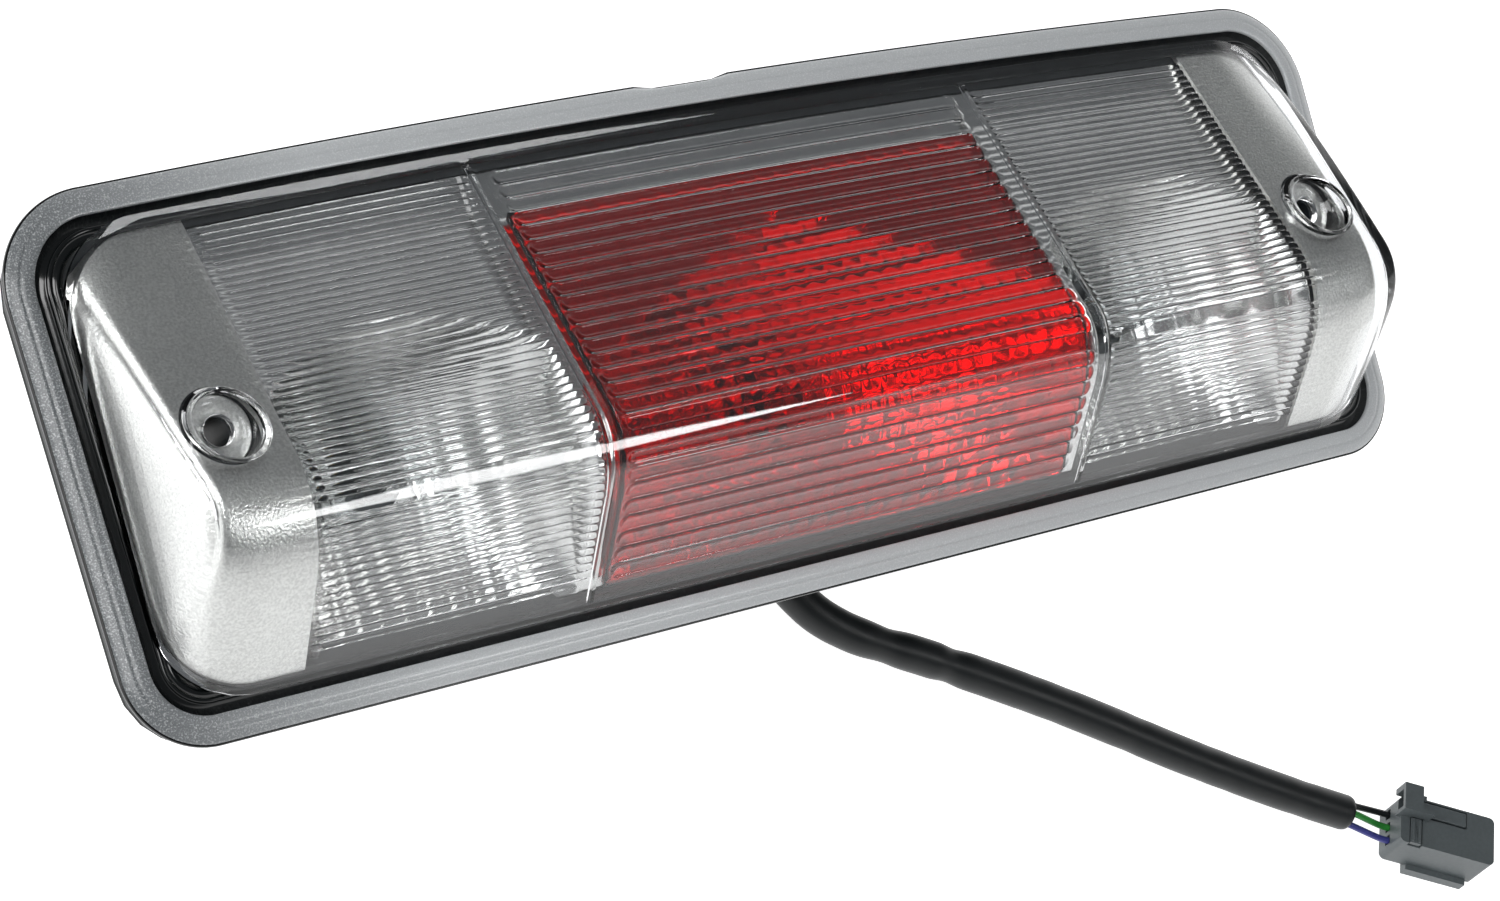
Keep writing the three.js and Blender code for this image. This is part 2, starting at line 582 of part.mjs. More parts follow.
// A saddle clip that holds the sleeve under the back wall.
function makeCableClip() {
  const [x, , z] = SLEEVE_START;
  const top = BACK_WALL_Z - GAP;
  const saddle = block(x - CLIP_HALF, x + CLIP_HALF, CLIP_Y - CLIP_LENGTH / 2, CLIP_Y + CLIP_LENGTH / 2,
    z - 3.4, top);
  const bore = new THREE.CylinderGeometry(CLIP_BORE_R, CLIP_BORE_R, CLIP_LENGTH + 2, ROUND_SIDES);
  bore.translate(x, CLIP_Y, z);
  const stud = upright(CLIP_STUD_R, top - 0.6, BACK_WALL_TOP + 2, x, CLIP_Y, 12);
  return joined(saddle, stud).subtract(solid(bore));
}

// ---- Bulbs and sockets ----

function makeSocket({ x, y }) {
  const discTop = BACK_WALL_Z - SOCKET_DISC_DROP;
  const discFoot = discTop - SOCKET_DISC_THICKNESS;
  const barrel = turned([[0, discFoot], [SOCKET_DISC_R, discFoot], [SOCKET_DISC_R, discTop],
    [SOCKET_BARREL_R, discTop], [SOCKET_BARREL_R, BACK_WALL_TOP + 2.6],
    [SOCKET_NECK_R, BACK_WALL_TOP + 4], [SOCKET_NECK_R, SOCKET_TOP], [0, SOCKET_TOP]], x, y, SOCKET_SIDES);
  const grip = joined(
    block(x - GRIP_HALF, x + GRIP_HALF, y - GRIP_THICKNESS / 2, y + GRIP_THICKNESS / 2,
      GRIP_FOOT_Z, discTop - 1),
    upright(GRIP_HUB_R, GRIP_FOOT_Z, discTop - 1, x, y));
  const lugFoot = SOCKET_NECK_R - 6;
  const lugs = LUG_ANGLES.map((angle) => {
    const geometry = new THREE.BoxGeometry(SOCKET_BARREL_R + LUG_REACH - lugFoot, LUG_WIDTH, LUG_THICKNESS);
    geometry.translate((SOCKET_BARREL_R + LUG_REACH + lugFoot) / 2, 0,
      BACK_WALL_TOP + GAP + LUG_THICKNESS / 2);
    geometry.rotateZ(THREE.MathUtils.degToRad(angle));
    geometry.translate(x, y, 0);
    return solid(geometry);
  });
  const pocket = block(x - POCKET_HALF_X, x + POCKET_HALF_X, y - POCKET_HALF_Y, y + POCKET_HALF_Y,
    discTop, ABOVE);
  return cutFrom(joined(barrel, grip, ...lugs), pocket);
}

function makeSocketSeal({ x, y }) {
  const top = BACK_WALL_Z - GAP;
  const ring = upright(SOCKET_DISC_R - 1.2, top - SEAL_THICKNESS, top, x, y, SOCKET_SIDES);
  return ring.subtract(upright(SOCKET_BARREL_R + 0.2, BELOW, ABOVE, x, y, SOCKET_SIDES));
}

// A wedge-base bulb: a domed envelope on a pinched foot, with the exhaust bore open.
function makeBulbGlass({ x, y }) {
  const inner = BULB_R - GLASS_WALL;
  const shoulder = BULB_TOP - BULB_R;
  const profile = [[BULB_R, SOCKET_TOP + 0.6], [BULB_R, shoulder]];
  const steps = 3;
  for (let i = 1; i <= steps; i += 1) {
    const angle = (i / steps) * (Math.PI / 2);
    profile.push([BULB_R * Math.cos(angle), shoulder + BULB_R * Math.sin(angle)]);
  }
  for (let i = steps; i >= 0; i -= 1) {
    const angle = (i / steps) * (Math.PI / 2);
    profile.push([inner * Math.cos(angle), shoulder + inner * Math.sin(angle)]);
  }
  profile.push([inner, SOCKET_TOP + 0.6], profile[0]);
  const foot = block(x - FOOT_HALF, x + FOOT_HALF, y - FOOT_THICKNESS / 2, y + FOOT_THICKNESS / 2,
    BACK_WALL_Z + 0.5, SOCKET_TOP + 2);
  const collar = upright(inner + 0.2, SOCKET_TOP + 0.6, SOCKET_TOP + 2, x, y);
  return cutFrom(joined(turned(profile, x, y), collar, foot), upright(0.9, BELOW, SOCKET_TOP + 3, x, y, 10));
}

function makeFilament({ x, y }) {
  const foot = SOCKET_TOP + 2 + GAP;
  const posts = [-FILAMENT_HALF, FILAMENT_HALF].map((dx) =>
    block(x + dx - POST_HALF, x + dx + POST_HALF, y - POST_HALF, y + POST_HALF, foot, FILAMENT_Z));
  const bridge = block(x - FILAMENT_HALF, x + FILAMENT_HALF, y - 0.6, y + 0.6, foot + 2.2, foot + 3.4);
  const coil = new THREE.CylinderGeometry(0.6, 0.6, 2 * FILAMENT_HALF + 0.8, 8);
  coil.rotateZ(Math.PI / 2);
  coil.translate(x, y, FILAMENT_Z);
  return joined(...posts, bridge, solid(coil));
}

// A sprung strip on one face of the bulb's foot, with its tail down the pocket.
function makeContact({ x, y }, side) {
  const near = FOOT_THICKNESS / 2 + GAP;
  const far = POCKET_HALF_Y - GAP;
  const [y0, y1] = side > 0 ? [near, far] : [-far, -near];
  const [x0, x1] = [side * CONTACT_X - CONTACT_HALF, side * CONTACT_X + CONTACT_HALF];
  const strip = block(x0, x1, y0, y0 + (y1 - y0) * 0.45, BACK_WALL_Z + 1, SOCKET_TOP - 1);
  const root = block(x0, x1, y0, y1, BACK_WALL_Z - 1.4, BACK_WALL_Z + 2);
  return joined(strip, root).translate([x, y, 0]);
}

// ---- Wiring inside the back rim ----

// A cargo socket's two wires run one over the other to the sleeve.
function cargoWireRoute(lamp, kind) {
  const side = Math.sign(lamp.x);
  const z = CARGO_WIRE_Z[kind];
  const endZ = CARGO_LANE_END[kind];
  const fromX = lamp.x - side * GRIP_SWEEP;
  const endX = CABLE_X + side * CARGO_WIRE_SPREAD;
  return [[fromX, lamp.y, z], [fromX - side * 4, lamp.y - 0.6, z], [fromX - side * 14, CARGO_LANE_Y + 4, z],
    [fromX - side * 30, CARGO_LANE_Y, z], [CABLE_X + side * 24, CARGO_LANE_Y, endZ],
    [CABLE_X + side * 9, CARGO_LANE_Y - 0.4, endZ], [CABLE_X + side * 4, CARGO_LANE_Y - 2.6, endZ],
    [endX, SLEEVE_START[1] + WIRE_END_GAP, endZ]];
}

function brakeWireRoute(kind) {
  const endZ = BRAKE_WIRE_END[kind];
  const side = kind === 'feed' ? -1.3 : 1.3;
  const startY = BRAKE_Y - GRIP_SWEEP;
  return [[side, startY, BRAKE_WIRE_Z], [side * 1.2, startY - 3, BRAKE_WIRE_Z],
    [CABLE_X + side * 0.4, startY - 8.5, endZ], [CABLE_X, SLEEVE_START[1] + WIRE_END_GAP, endZ]];
}

// ---- Plug on the end of the sleeve ----

function makeConnectorBody() {
  const halfY = PLUG_WIDTH / 2;
  const outline = roundedRectangle(PLUG_LENGTH / 2, halfY, 1.6);
  const shell = raised(outline, 0, PLUG_HEIGHT).translate([PLUG_LENGTH / 2, 0, 0]);
  const rail = block(RAIL_FOOT_X, PLUG_LENGTH - RAIL_TIP, -halfY - RAIL_REACH, -halfY + 1.4, -2.2, 0.9);
  const hood = block(...HOOD_X, 0.4, halfY + 1.2, PLUG_HEIGHT - 1, PLUG_HEIGHT + HOOD_RISE);
  const hoodWay = block(HOOD_X[0] - 1, HOOD_X[1] + 1,
    LATCH_Y - LATCH_HALF - 0.5, LATCH_Y + LATCH_HALF + 0.5,
    PLUG_HEIGHT - LATCH_WELL, PLUG_HEIGHT + HOOD_RISE - 1.2);
  const hoodScoop = block(HOOD_X[1] - 3.4, HOOD_X[1] + 1, LATCH_Y - LATCH_HALF - 0.5, halfY + 2,
    PLUG_HEIGHT - 0.2, PLUG_HEIGHT + HOOD_RISE + 1);
  const latchWay = block(-2, LATCH_ROOT[1] + GAP, LATCH_Y - LATCH_HALF - 0.5, LATCH_Y + LATCH_HALF + 0.5,
    PLUG_HEIGHT - LATCH_WELL, PLUG_HEIGHT + 1);
  const mouth = block(PARTITION_X, PLUG_LENGTH + 1, -halfY + PLUG_WALL, halfY - PLUG_WALL,
    PLUG_WALL, PLUG_HEIGHT - PLUG_WALL - 1.6);
  const lockSlot = block(LOCK_X[0] - GAP, LOCK_X[1] + GAP, -halfY - 1, LOCK_END_Y + GAP,
    PLUG_HEIGHT - LOCK_DEPTH - GAP, PLUG_HEIGHT + 1);
  const ways = TERMINALS.map((y) => block(-1, PARTITION_X + 1, y - WAY_HALF, y + WAY_HALF, ...WAY_Z));
  const lower = cutFrom(shell, latchWay);
  return cutFrom(joined(lower, rail, cutFrom(hood, hoodWay, hoodScoop)), mouth, lockSlot, ...ways);
}

// A lever that springs up behind the mating part's catch, on its root at the front.
function makeConnectorLatch() {
  const floor = PLUG_HEIGHT - LATCH_WELL;
  const [y0, y1] = [LATCH_Y - LATCH_HALF, LATCH_Y + LATCH_HALF];
  const arm = block(LATCH_TAIL_X, LATCH_ROOT[1], y0, y1, floor + 1.1, floor + 2.2);
  const root = block(...LATCH_ROOT, y0, y1, floor + 0.2, floor + 2.2);
  const pad = block(LATCH_TAIL_X, LATCH_TAIL_X + 3.4, y0, y1, floor + 1.1, floor + 3.4);
  return joined(arm, root, pad);
}

function makeConnectorLock() {
  const [y0, y1] = [GAP - PLUG_WIDTH / 2, LOCK_END_Y];
  const plate = block(...LOCK_X, y0, y1, PLUG_HEIGHT - LOCK_DEPTH, PLUG_HEIGHT + 0.2);
  const [ribFoot, ribTop] = [PLUG_HEIGHT - 0.2, PLUG_HEIGHT + 0.6];
  const ribs = [LOCK_X[0] + 0.4, LOCK_X[1] - 1].map((x) =>
    block(x, x + 0.6, y0 + 0.3, y1 - 0.3, ribFoot, ribTop));
  return joined(plate, ...ribs);
}

function makeTerminal(y) {
  const barrel = block(TERMINAL_FOOT_X, PARTITION_X + 1.5, y - 0.9, y + 0.9, ...TERMINAL_Z);
  const blade = block(PARTITION_X, PLUG_LENGTH - TERMINAL_TIP, y - 0.75, y + 0.75, TERMINAL_Z[0] + 0.4,
    TERMINAL_Z[1] - 0.4);
  return joined(barrel, blade);
}

function plugFrame() {
  const frame = new THREE.Group();
  const radians = THREE.MathUtils.degToRad;
  frame.position.set(...PLUG_AT);
  frame.rotation.set(radians(PLUG_ROLL), radians(PLUG_PITCH), radians(PLUG_YAW), 'ZYX');
  frame.updateMatrixWorld(true);
  return frame;
}

// Each plug wire leaves the sleeve's end and enters its own way in the plug's back.
function plugWireRoute(frame, index) {
  const end = new THREE.Vector3(...SLEEVE_ROUTE.at(-1));
  const before = new THREE.Vector3(...SLEEVE_ROUTE.at(-2));
  const along = end.clone().sub(before).normalize();
  const aside = new THREE.Vector3(-along.y, along.x, 0);
  const offset = TERMINALS[index] * 0.72;
  const lift = index === 1 ? 1.5 : -0.4;
  const out = end.clone().addScaledVector(aside, offset).add(new THREE.Vector3(0, 0, lift));
  const inPlace = frame.localToWorld(new THREE.Vector3(2.6, TERMINALS[index], 4.9));
  const before2 = frame.localToWorld(new THREE.Vector3(-2.5, TERMINALS[index], 4.9));
  const start = out.clone().addScaledVector(along, GAP);
  const second = out.clone().addScaledVector(along, 3);
  return [start, second, before2, inPlace].map((p) => p.toArray());
}

// ---- The whole lamp ----

const group = new THREE.Group();

function place(name, body, look, parent = group) {
  const mesh = new THREE.Mesh(surface(body), new THREE.MeshStandardMaterial(LOOKS[look]));
  mesh.name = name;
  parent.add(mesh);
}

place('outer_lens', makeOuterLens(), 'clear');
place('lens_seal', makeLensSeal(), 'rubber');
place('red_inner_lens', makeRedInnerLens(), 'red');
place('reflector', makeReflector(), 'mirror');
place('housing', makeHousing(), 'black');
place('foam_gasket', makeGasket(), 'foam');
place('vent_cap_left', makeVent(VENTS[0]), 'rubber');
place('vent_cap_right', makeVent(VENTS[1]), 'rubber');
place('cable_clip', makeCableClip(), 'black');

for (const lamp of LAMPS) {
  place(`${lamp.name}_socket`, makeSocket(lamp), 'socket');
  place(`${lamp.name}_socket_seal`, makeSocketSeal(lamp), 'rubber');
  place(`${lamp.name}_bulb_glass`, makeBulbGlass(lamp), 'glass');
  place(`${lamp.name}_bulb_filament`, makeFilament(lamp), 'metal');
  place(`${lamp.name}_contact_feed`, makeContact(lamp, 1), 'brass');
  place(`${lamp.name}_contact_ground`, makeContact(lamp, -1), 'brass');
}

for (const lamp of LAMPS.slice(1)) {
  place(`${lamp.name}_wire_feed`, tube(cargoWireRoute(lamp, 'feed'), WIRE_R, 16), 'blue');
  place(`${lamp.name}_wire_ground`, tube(cargoWireRoute(lamp, 'ground'), WIRE_R, 16), 'wireBlack');
}
place('brake_wire_feed', tube(brakeWireRoute('feed'), WIRE_R, 6), 'green');
place('brake_wire_ground', tube(brakeWireRoute('ground'), WIRE_R, 6), 'wireBlack');
place('harness_sleeve', tube(SLEEVE_ROUTE, SLEEVE_R, 14, 10), 'sleeve');

const plug = plugFrame();
group.add(plug);
place('connector_body', makeConnectorBody(), 'plug', plug);
place('connector_latch', makeConnectorLatch(), 'plug', plug);
place('connector_lock', makeConnectorLock(), 'plug', plug);
const wireNames = ['blue', 'green', 'black'];
wireNames.forEach((name, index) => {
  const look = name === 'black' ? 'wireBlack' : name;
  place(`terminal_${name}`, makeTerminal(TERMINALS[index]), 'brass', plug);
  place(`plug_wire_${name}`, tube(plugWireRoute(plug, index), WIRE_R, 5), look);
});

export default group;
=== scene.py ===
from math import hypot, pi, radians

import bmesh
import bpy
import numpy as np
from bpy.props import FloatProperty, FloatVectorProperty, PointerProperty
from bpy.types import Operator, Panel, PropertyGroup
from mathutils import Matrix, Vector


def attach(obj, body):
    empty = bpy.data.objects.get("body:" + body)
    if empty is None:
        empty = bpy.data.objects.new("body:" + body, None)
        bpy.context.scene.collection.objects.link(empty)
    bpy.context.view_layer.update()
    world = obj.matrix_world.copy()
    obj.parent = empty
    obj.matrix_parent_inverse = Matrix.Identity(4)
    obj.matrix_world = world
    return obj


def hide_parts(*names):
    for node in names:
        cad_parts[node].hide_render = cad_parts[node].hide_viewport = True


bl_info = {
    "name": "Third brake light",
    "version": (1, 0, 0),
    "blender": (4, 5, 0),
    "location": "3D View > Sidebar > Brake light",
    "description": "High-mount stop lamp with two cargo lamps and its harness",
    "category": "Object",
}

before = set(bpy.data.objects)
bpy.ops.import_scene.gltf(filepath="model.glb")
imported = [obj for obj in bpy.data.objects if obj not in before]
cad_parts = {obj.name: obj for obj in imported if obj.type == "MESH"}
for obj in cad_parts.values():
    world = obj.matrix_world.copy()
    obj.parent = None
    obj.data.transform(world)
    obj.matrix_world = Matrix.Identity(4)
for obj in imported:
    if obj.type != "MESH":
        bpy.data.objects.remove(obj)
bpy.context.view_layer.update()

MM = 0.001
LAMP = "lamp"

# ---- Sizes shared with the solid model, in millimetres ----
HALF_LENGTH = 184.0
HALF_WIDTH = 63.25
FACE_Z = 42.0
FLANGE_THICKNESS = 2.5
SIDE_SLANT = 1.3
TOP_ARCH = 3.2
TOP_CORNER = 22.9
BOTTOM_CORNER = 19.0
NOTCH_X, NOTCH_LENGTH, NOTCH_DEPTH = -8.5, 21.0, 1.6
LENS_WALL = 2.6
BODY_INSET_END, BODY_INSET_TOP, BODY_INSET_BOTTOM = 10.0, 9.4, 8.8
BODY_CORNER = 20.0
TOP_FACE_FOOT, TOP_FACE_SLOPE = 1.6, 0.4226
LOWER_FACE_FOOT, LOWER_FACE_SLOPE = 2.3, 1.02
RIDGE_BLEND = 14.0
END_WALL_SLOPE, END_BLEND = 5.0, 6.0
GROOVE_INSET, GROOVE_WIDTH, GROOVE_DEPTH = 6.3, 3.0, 1.1
CENTRE_HALF = 71.3
CARGO_END = 142.2
CARGO_X = (CENTRE_HALF + CARGO_END) / 2
SCREW_X, SCREW_Y = 155.0, -0.3
SEAT_Z = FACE_Z + 18.5
COUNTERBORE_R, SCREW_BORE_R = 7.75, 3.4
EDGE_TRIM, CROWN_TRIM = 0.14, 0.04    # keeps the finer curves inside the solid model's box
WALL_FOOT_GAP = 0.02              # keeps the body's foot off the flange it stands on
WELL_HOLE_R, LINER_HOLE_R = 9.0, 9.3      # holes for a screw's well in the lens and in its liner
CUT_BELOW_SEAT, CUT_TOP = 12.0, 110.0     # how far those holes reach down and up
UPPER_ROWS, LOWER_ROWS = (-21.0, 50.0), (-50.5, -25.0)    # where flutes lie across each face
BRAKE_FLUTE_DEPTHS, CARGO_FLUTE_DEPTHS = (0.42, 0.36), (0.27, 0.2)    # upper and lower face
BRAKE_FLUTE_INSET, CARGO_FLUTE_INSETS = 4.6, (1.2, 1.0)   # plain strips at the flutes' ends
RIBS = ((CENTRE_HALF, 0.8, 1.1), (CARGO_END, 0.5, 0.4))   # place, half width and height
FLANGE_STEPS = 48                 # points on each stretch of the flange's outline

# ---- Reflector, red lens and bulbs, in millimetres ----
REFLECTOR_EDGE, REFLECTOR_SINK = 3.0, 4.2    # its rim under the lens wall, and its depth below
REFLECTOR_LIFT, LIFT_FROM, LIFT_OVER = 2.4, 38.0, 12.8    # how it rises again near its top edge
REFLECTOR_WALL = 1.5
END_REFLECTOR_OFFSET = 3.4
LINER_BLENDS = (20.0, 15.0)       # the end liners' ridge and end, softer than the lens over them
LINER_FOOT_DROP, LINER_WALL_FOOT = 1.2, 1.0
FACET_PITCH, FACET_DEPTH = 6.0, 0.6
PILLOW_PITCH, PILLOW_DEPTH = 5.5, 0.45    # the red lens's optics, on its inner face
RED_LENS_OFFSET, RED_LENS_WALL = 4.0, 1.7
RED_LENS_HALF, RED_LENS_TOP = 66.6, 37.0
BOWL_VERTEX_Z, BOWL_FLOOR_Z = 22.0, 24.5
BOWL_DEPTH_BELOW = 46.0           # from a bulb's middle to its bowl's lower edge
BULB_HOLE_R = 9.2
BULB_R, BULB_TOP, SOCKET_TOP = 7.5, 47.0, 22.0
# Each bowl has its middle, its half length and its depth above the middle, how square its
# outline is (2 is an ellipse), and its half width between its walls.
LAMPS = {
    "brake": {"x": 0.0, "y": -13.0, "rx": 75.0, "ry": 37.0, "power": 1.15, "room": 70.5},
    "cargo_left": {"x": -CARGO_X, "y": -11.0, "rx": 40.0, "ry": 27.0, "power": 2.0, "room": 34.4},
    "cargo_right": {"x": CARGO_X, "y": -11.0, "rx": 40.0, "ry": 27.0, "power": 2.0, "room": 34.4},
}

# ---- Harness, in millimetres ----
SLEEVE_R, SLEEVE_Z = 4.8, 4.95
SLEEVE_TRAIL = (
    (2.5, -36), (2.7, -43), (3.6, -50), (5.6, -56.5), (9, -62.5), (13.6, -68), (20.2, -73.2),
    (28.3, -78), (38.5, -83.3), (50.2, -89.7), (63, -97), (77, -105.3), (92.8, -115.2),
    (109.5, -125.9), (128.2, -137.2), (144, -146.3), (158.3, -154.1),
)
WIRE_R = 0.9
GRIP_SWEEP = 8.6                  # from a socket's middle to where its wires start
CABLE_X = 2.5
PLUG_AT, PLUG_TURN = (170.6, -162.8, 1.6), (-12.0, -14.0, -31.0)
TERMINAL_PITCH = 3.8


# ---- Camera and lights, in metres ----
CAMERA_PLACE = (-0.45707, -0.09138, 0.71624)
CAMERA_RIGHT = (0.81743, -0.27087, 0.50837)
CAMERA_DOWN = (-0.18794, -0.95966, -0.20913)
CAMERA_AHEAD = (0.54451, 0.07541, -0.83536)
CAMERA_SHIFT = (-0.00206, 0.0091)
LIGHT_TARGET = (0, 0, 0.04)
SOFTBOXES = {                     # direction, distance and size
    "key": ((0.42, -0.33, 0.84), 1.5, (0.32, 0.35)),
    "side": ((-0.85, 0.35, 0.40), 1.4, (0.5, 0.9)),
    "fill": ((-0.34, 0.12, 0.93), 1.5, (0.7, 0.7)),
}
FLOOR_HALF, FLOOR_DROP = 2000.0, 0.3      # in millimetres


# ---- Colour and nodes ----

def linear(code, alpha=1.0):
    """An sRGB hex colour as linear RGBA."""
    parts = np.array([int(code[i:i + 2], 16) for i in (0, 2, 4)]) / 255
    values = np.where(parts <= 0.04045, parts / 12.92, ((parts + 0.055) / 1.055) ** 2.4)
    return (*values.tolist(), alpha)


def add(tree, kind, settings, inputs):
    """Adds a node, sets its properties, and sets or links its inputs."""
    node = tree.nodes.new("ShaderNode" + kind)
    for name, value in settings.items():
        setattr(node, name, value)
    for key, value in inputs.items():
        if isinstance(value, bpy.types.NodeSocket):
            tree.links.new(value, node.inputs[key])
        else:
            node.inputs[key].default_value = value
    return node


def blank_material(name):
    """A new material with its tree emptied, and the tree's output node."""
    material = bpy.data.materials.new(name)
    material.use_nodes = True
    tree = material.node_tree
    tree.nodes.clear()
    return material, tree, tree.nodes.new("ShaderNodeOutputMaterial")


def grain(tree, size_mm, depth_mm):
    """Bump from noise whose grains are about size_mm across."""
    place = add(tree, "TexCoord", {}, {})
    noise = add(tree, "TexNoise", {}, {"Vector": place.outputs["Object"],
                                       "Scale": 1 / (size_mm * MM), "Detail": 2.0})
    return add(tree, "Bump", {}, {"Height": noise.outputs["Fac"], "Distance": depth_mm * MM,
                                  "Strength": 1.0})


def plain_surface(name, colour, roughness, bump_mm, settings=None, drift_share=0.22,
                  hollow_shade_share=0.1):
    """A solid material: colour and roughness drift a little over centimetres.

    Its grain is bumped, and painted shade darkens its hollows by the last argument's share.
    """
    material, tree, output = blank_material(name)
    size_mm, depth_mm = bump_mm
    place = add(tree, "TexCoord", {}, {})
    drift = add(tree, "TexNoise", {}, {"Vector": place.outputs["Object"], "Scale": 90.0, "Detail": 3.0})
    light = linear(colour)
    dark = tuple((1 - drift_share) * c for c in light[:3]) + (1.0,)
    tint = add(tree, "Mix", {"data_type": "RGBA"}, {0: drift.outputs["Fac"], 6: dark, 7: light})
    rough = add(tree, "MapRange", {}, {0: drift.outputs["Fac"], 1: 0.0, 2: 1.0,
                                       3: roughness * (1 - drift_share),
                                       4: min(roughness * (1 + drift_share), 1.0)})
    bump = grain(tree, size_mm, depth_mm)
    # Painted shade: the colour is darkened where the grain's bump is low.
    painted_hollow_shade = add(tree, "MapRange", {}, {0: bump.inputs["Height"].links[0].from_socket, 1: 0.35, 2: 0.65,
                                        3: 1 - hollow_shade_share, 4: 1.0})
    coat = add(tree, "Mix", {"data_type": "RGBA", "blend_type": "MULTIPLY"},
               {0: 1.0, 6: tint.outputs[2], 7: painted_hollow_shade.outputs[0]})
    surface = add(tree, "BsdfPrincipled", {}, {"Base Color": coat.outputs[2],
                                               "Roughness": rough.outputs[0],
                                               "Normal": bump.outputs[0], **(settings or {})})
    tree.links.new(surface.outputs[0], output.inputs["Surface"])
    return material


def clear_surface(name, colour, roughness, ior, bump_mm, specular=0.5):
    """A clear moulding of a linear colour, which lets light through to what is behind it."""
    material, tree, output = blank_material(name)
    size_mm, depth_mm = bump_mm
    bump = grain(tree, size_mm, depth_mm)
    glass = add(tree, "BsdfPrincipled", {}, {"Base Color": colour, "Roughness": roughness,
                                             "IOR": ior, "Transmission Weight": 1.0,
                                             "Specular IOR Level": specular,
                                             "Normal": bump.outputs[0]})
    path = add(tree, "LightPath", {}, {})
    passed = add(tree, "BsdfTransparent", {}, {"Color": colour})
    both = add(tree, "MixShader", {}, {0: path.outputs["Is Shadow Ray"], 1: glass.outputs[0],
                                       2: passed.outputs[0]})
    tree.links.new(both.outputs[0], output.inputs["Surface"])
    return material


def shaded_glinting_surface(name, colours, shade_reach_mm, grain_mm):
    """A grained skirt, darker towards its left end as painted shade.

    The colour runs from the first to the second along x over the given reach in millimetres, a painted
    shade, and bright specks about grain_mm across stand on it as painted glints, each raised a little.
    """
    material, tree, output = blank_material(name)
    place = add(tree, "TexCoord", {}, {})
    axes = add(tree, "SeparateXYZ", {}, {0: place.outputs["Object"]})
    # Painted shade: the colour darkens towards the skirt's left end.
    along = add(tree, "MapRange", {}, {0: axes.outputs["X"], 1: shade_reach_mm[0] * MM, 2: shade_reach_mm[1] * MM})
    tint = add(tree, "Mix", {"data_type": "RGBA"}, {0: along.outputs[0], 6: linear(colours[0]),
                                                    7: linear(colours[1])})
    specks = add(tree, "TexNoise", {}, {"Vector": place.outputs["Object"], "Scale": 1 / (grain_mm * MM),
                                        "Detail": 2.0})
    # Painted glints: bright specks mixed into the colour.
    share = add(tree, "MapRange", {}, {0: specks.outputs["Fac"], 1: 0.5, 2: 0.9})
    lit = add(tree, "Mix", {"data_type": "RGBA"}, {0: share.outputs[0], 6: tint.outputs[2],
                                                   7: linear("d4d6d7")})
    bump = add(tree, "Bump", {}, {"Height": specks.outputs["Fac"], "Distance": 0.15 * MM})
    surface = add(tree, "BsdfPrincipled", {}, {"Base Color": lit.outputs[2], "Roughness": 0.4,
                                               "Coat Weight": 0.7, "Coat Roughness": 0.2, "Coat IOR": 1.585,
                                               "Normal": bump.outputs[0]})
    tree.links.new(surface.outputs[0], output.inputs["Surface"])
    return material


# ---- Meshes from numpy grids ----

def mesh_object(name, points, faces, face_outwards=False):
    """A mesh object from points in millimetres, with doubled points and empty faces removed."""
    mesh = bpy.data.meshes.new(name)
    mesh.from_pydata((np.asarray(points, float) * MM).tolist(), [], np.asarray(faces).tolist())
    work = bmesh.new()
    work.from_mesh(mesh)
    bmesh.ops.remove_doubles(work, verts=work.verts, dist=1e-7)
    bmesh.ops.dissolve_degenerate(work, edges=work.edges, dist=1e-7)
    if face_outwards:
        bmesh.ops.recalc_face_normals(work, faces=work.faces)
    work.to_mesh(mesh)
    work.free()
    piece = bpy.data.objects.new(name, mesh)
    bpy.context.scene.collection.objects.link(piece)
    return piece


def make_piece(name, points, faces, material, slot, body=LAMP):
    """A smooth-shaded piece of the lamp, riding on a body."""
    piece = mesh_object(name, points, faces)
    piece.data.shade_smooth()
    piece.data.materials.append(material)
    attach(piece, body)
    return piece


def grid_faces(rows, columns, wrap_rows=False, wrap_columns=False, start=0):
    """Quads between neighbours on a rows by columns grid of points."""
    i = np.arange(rows if wrap_rows else rows - 1)[:, None]
    j = np.arange(columns if wrap_columns else columns - 1)[None, :]
    near, far = i * columns, ((i + 1) % rows) * columns
    k = (j + 1) % columns
    return start + np.stack([near + j, far + j, far + k, near + k], -1).reshape(-1, 4)


def closed_between(front, back):
    """Points and quads of the slab between two grids of the same size, x by y."""
    rows, columns = front.shape[:2]
    count = rows * columns
    index = np.arange(count).reshape(rows, columns)
    loop = np.concatenate([index[:-1, 0], index[-1, :-1], index[:0:-1, -1], index[0, :0:-1]])
    after = np.roll(loop, -1)
    rim = np.stack([loop + count, after + count, after, loop], -1)
    faces = np.concatenate([grid_faces(rows, columns),
                            grid_faces(rows, columns, start=count)[:, ::-1], rim])
    return np.concatenate([front.reshape(-1, 3), back.reshape(-1, 3)]), faces


def turned(profile, x, y, sides=64):
    """A profile of (radius, z) carried round a vertical axis; it closes at both its ends."""
    profile = np.asarray(profile, float)
    angle = np.linspace(0, 2 * pi, sides, endpoint=False)[:, None]
    radius, height = profile[None, :, 0], profile[None, :, 1]
    points = np.stack([x + radius * np.cos(angle), y + radius * np.sin(angle),
                       height + 0 * angle], -1)
    return points.reshape(-1, 3), grid_faces(sides, len(profile), wrap_rows=True)


def smooth_path(points, steps):
    """A curve through every point: each stretch is the cubic set by its four nearest points."""
    p = np.asarray(points, float)
    p = np.concatenate([2 * p[:1] - p[1:2], p, 2 * p[-1:] - p[-2:-1]])
    t = np.linspace(0, 1, steps, endpoint=False)[None, :, None]
    a, b, c, d = (p[k:len(p) - 3 + k, None] for k in range(4))
    curve = 0.5 * (2 * b + (c - a) * t + (2 * a - 5 * b + 4 * c - d) * t ** 2
                   + (3 * b - a - 3 * c + d) * t ** 3)
    return np.concatenate([curve.reshape(-1, 3), p[-2:-1]])


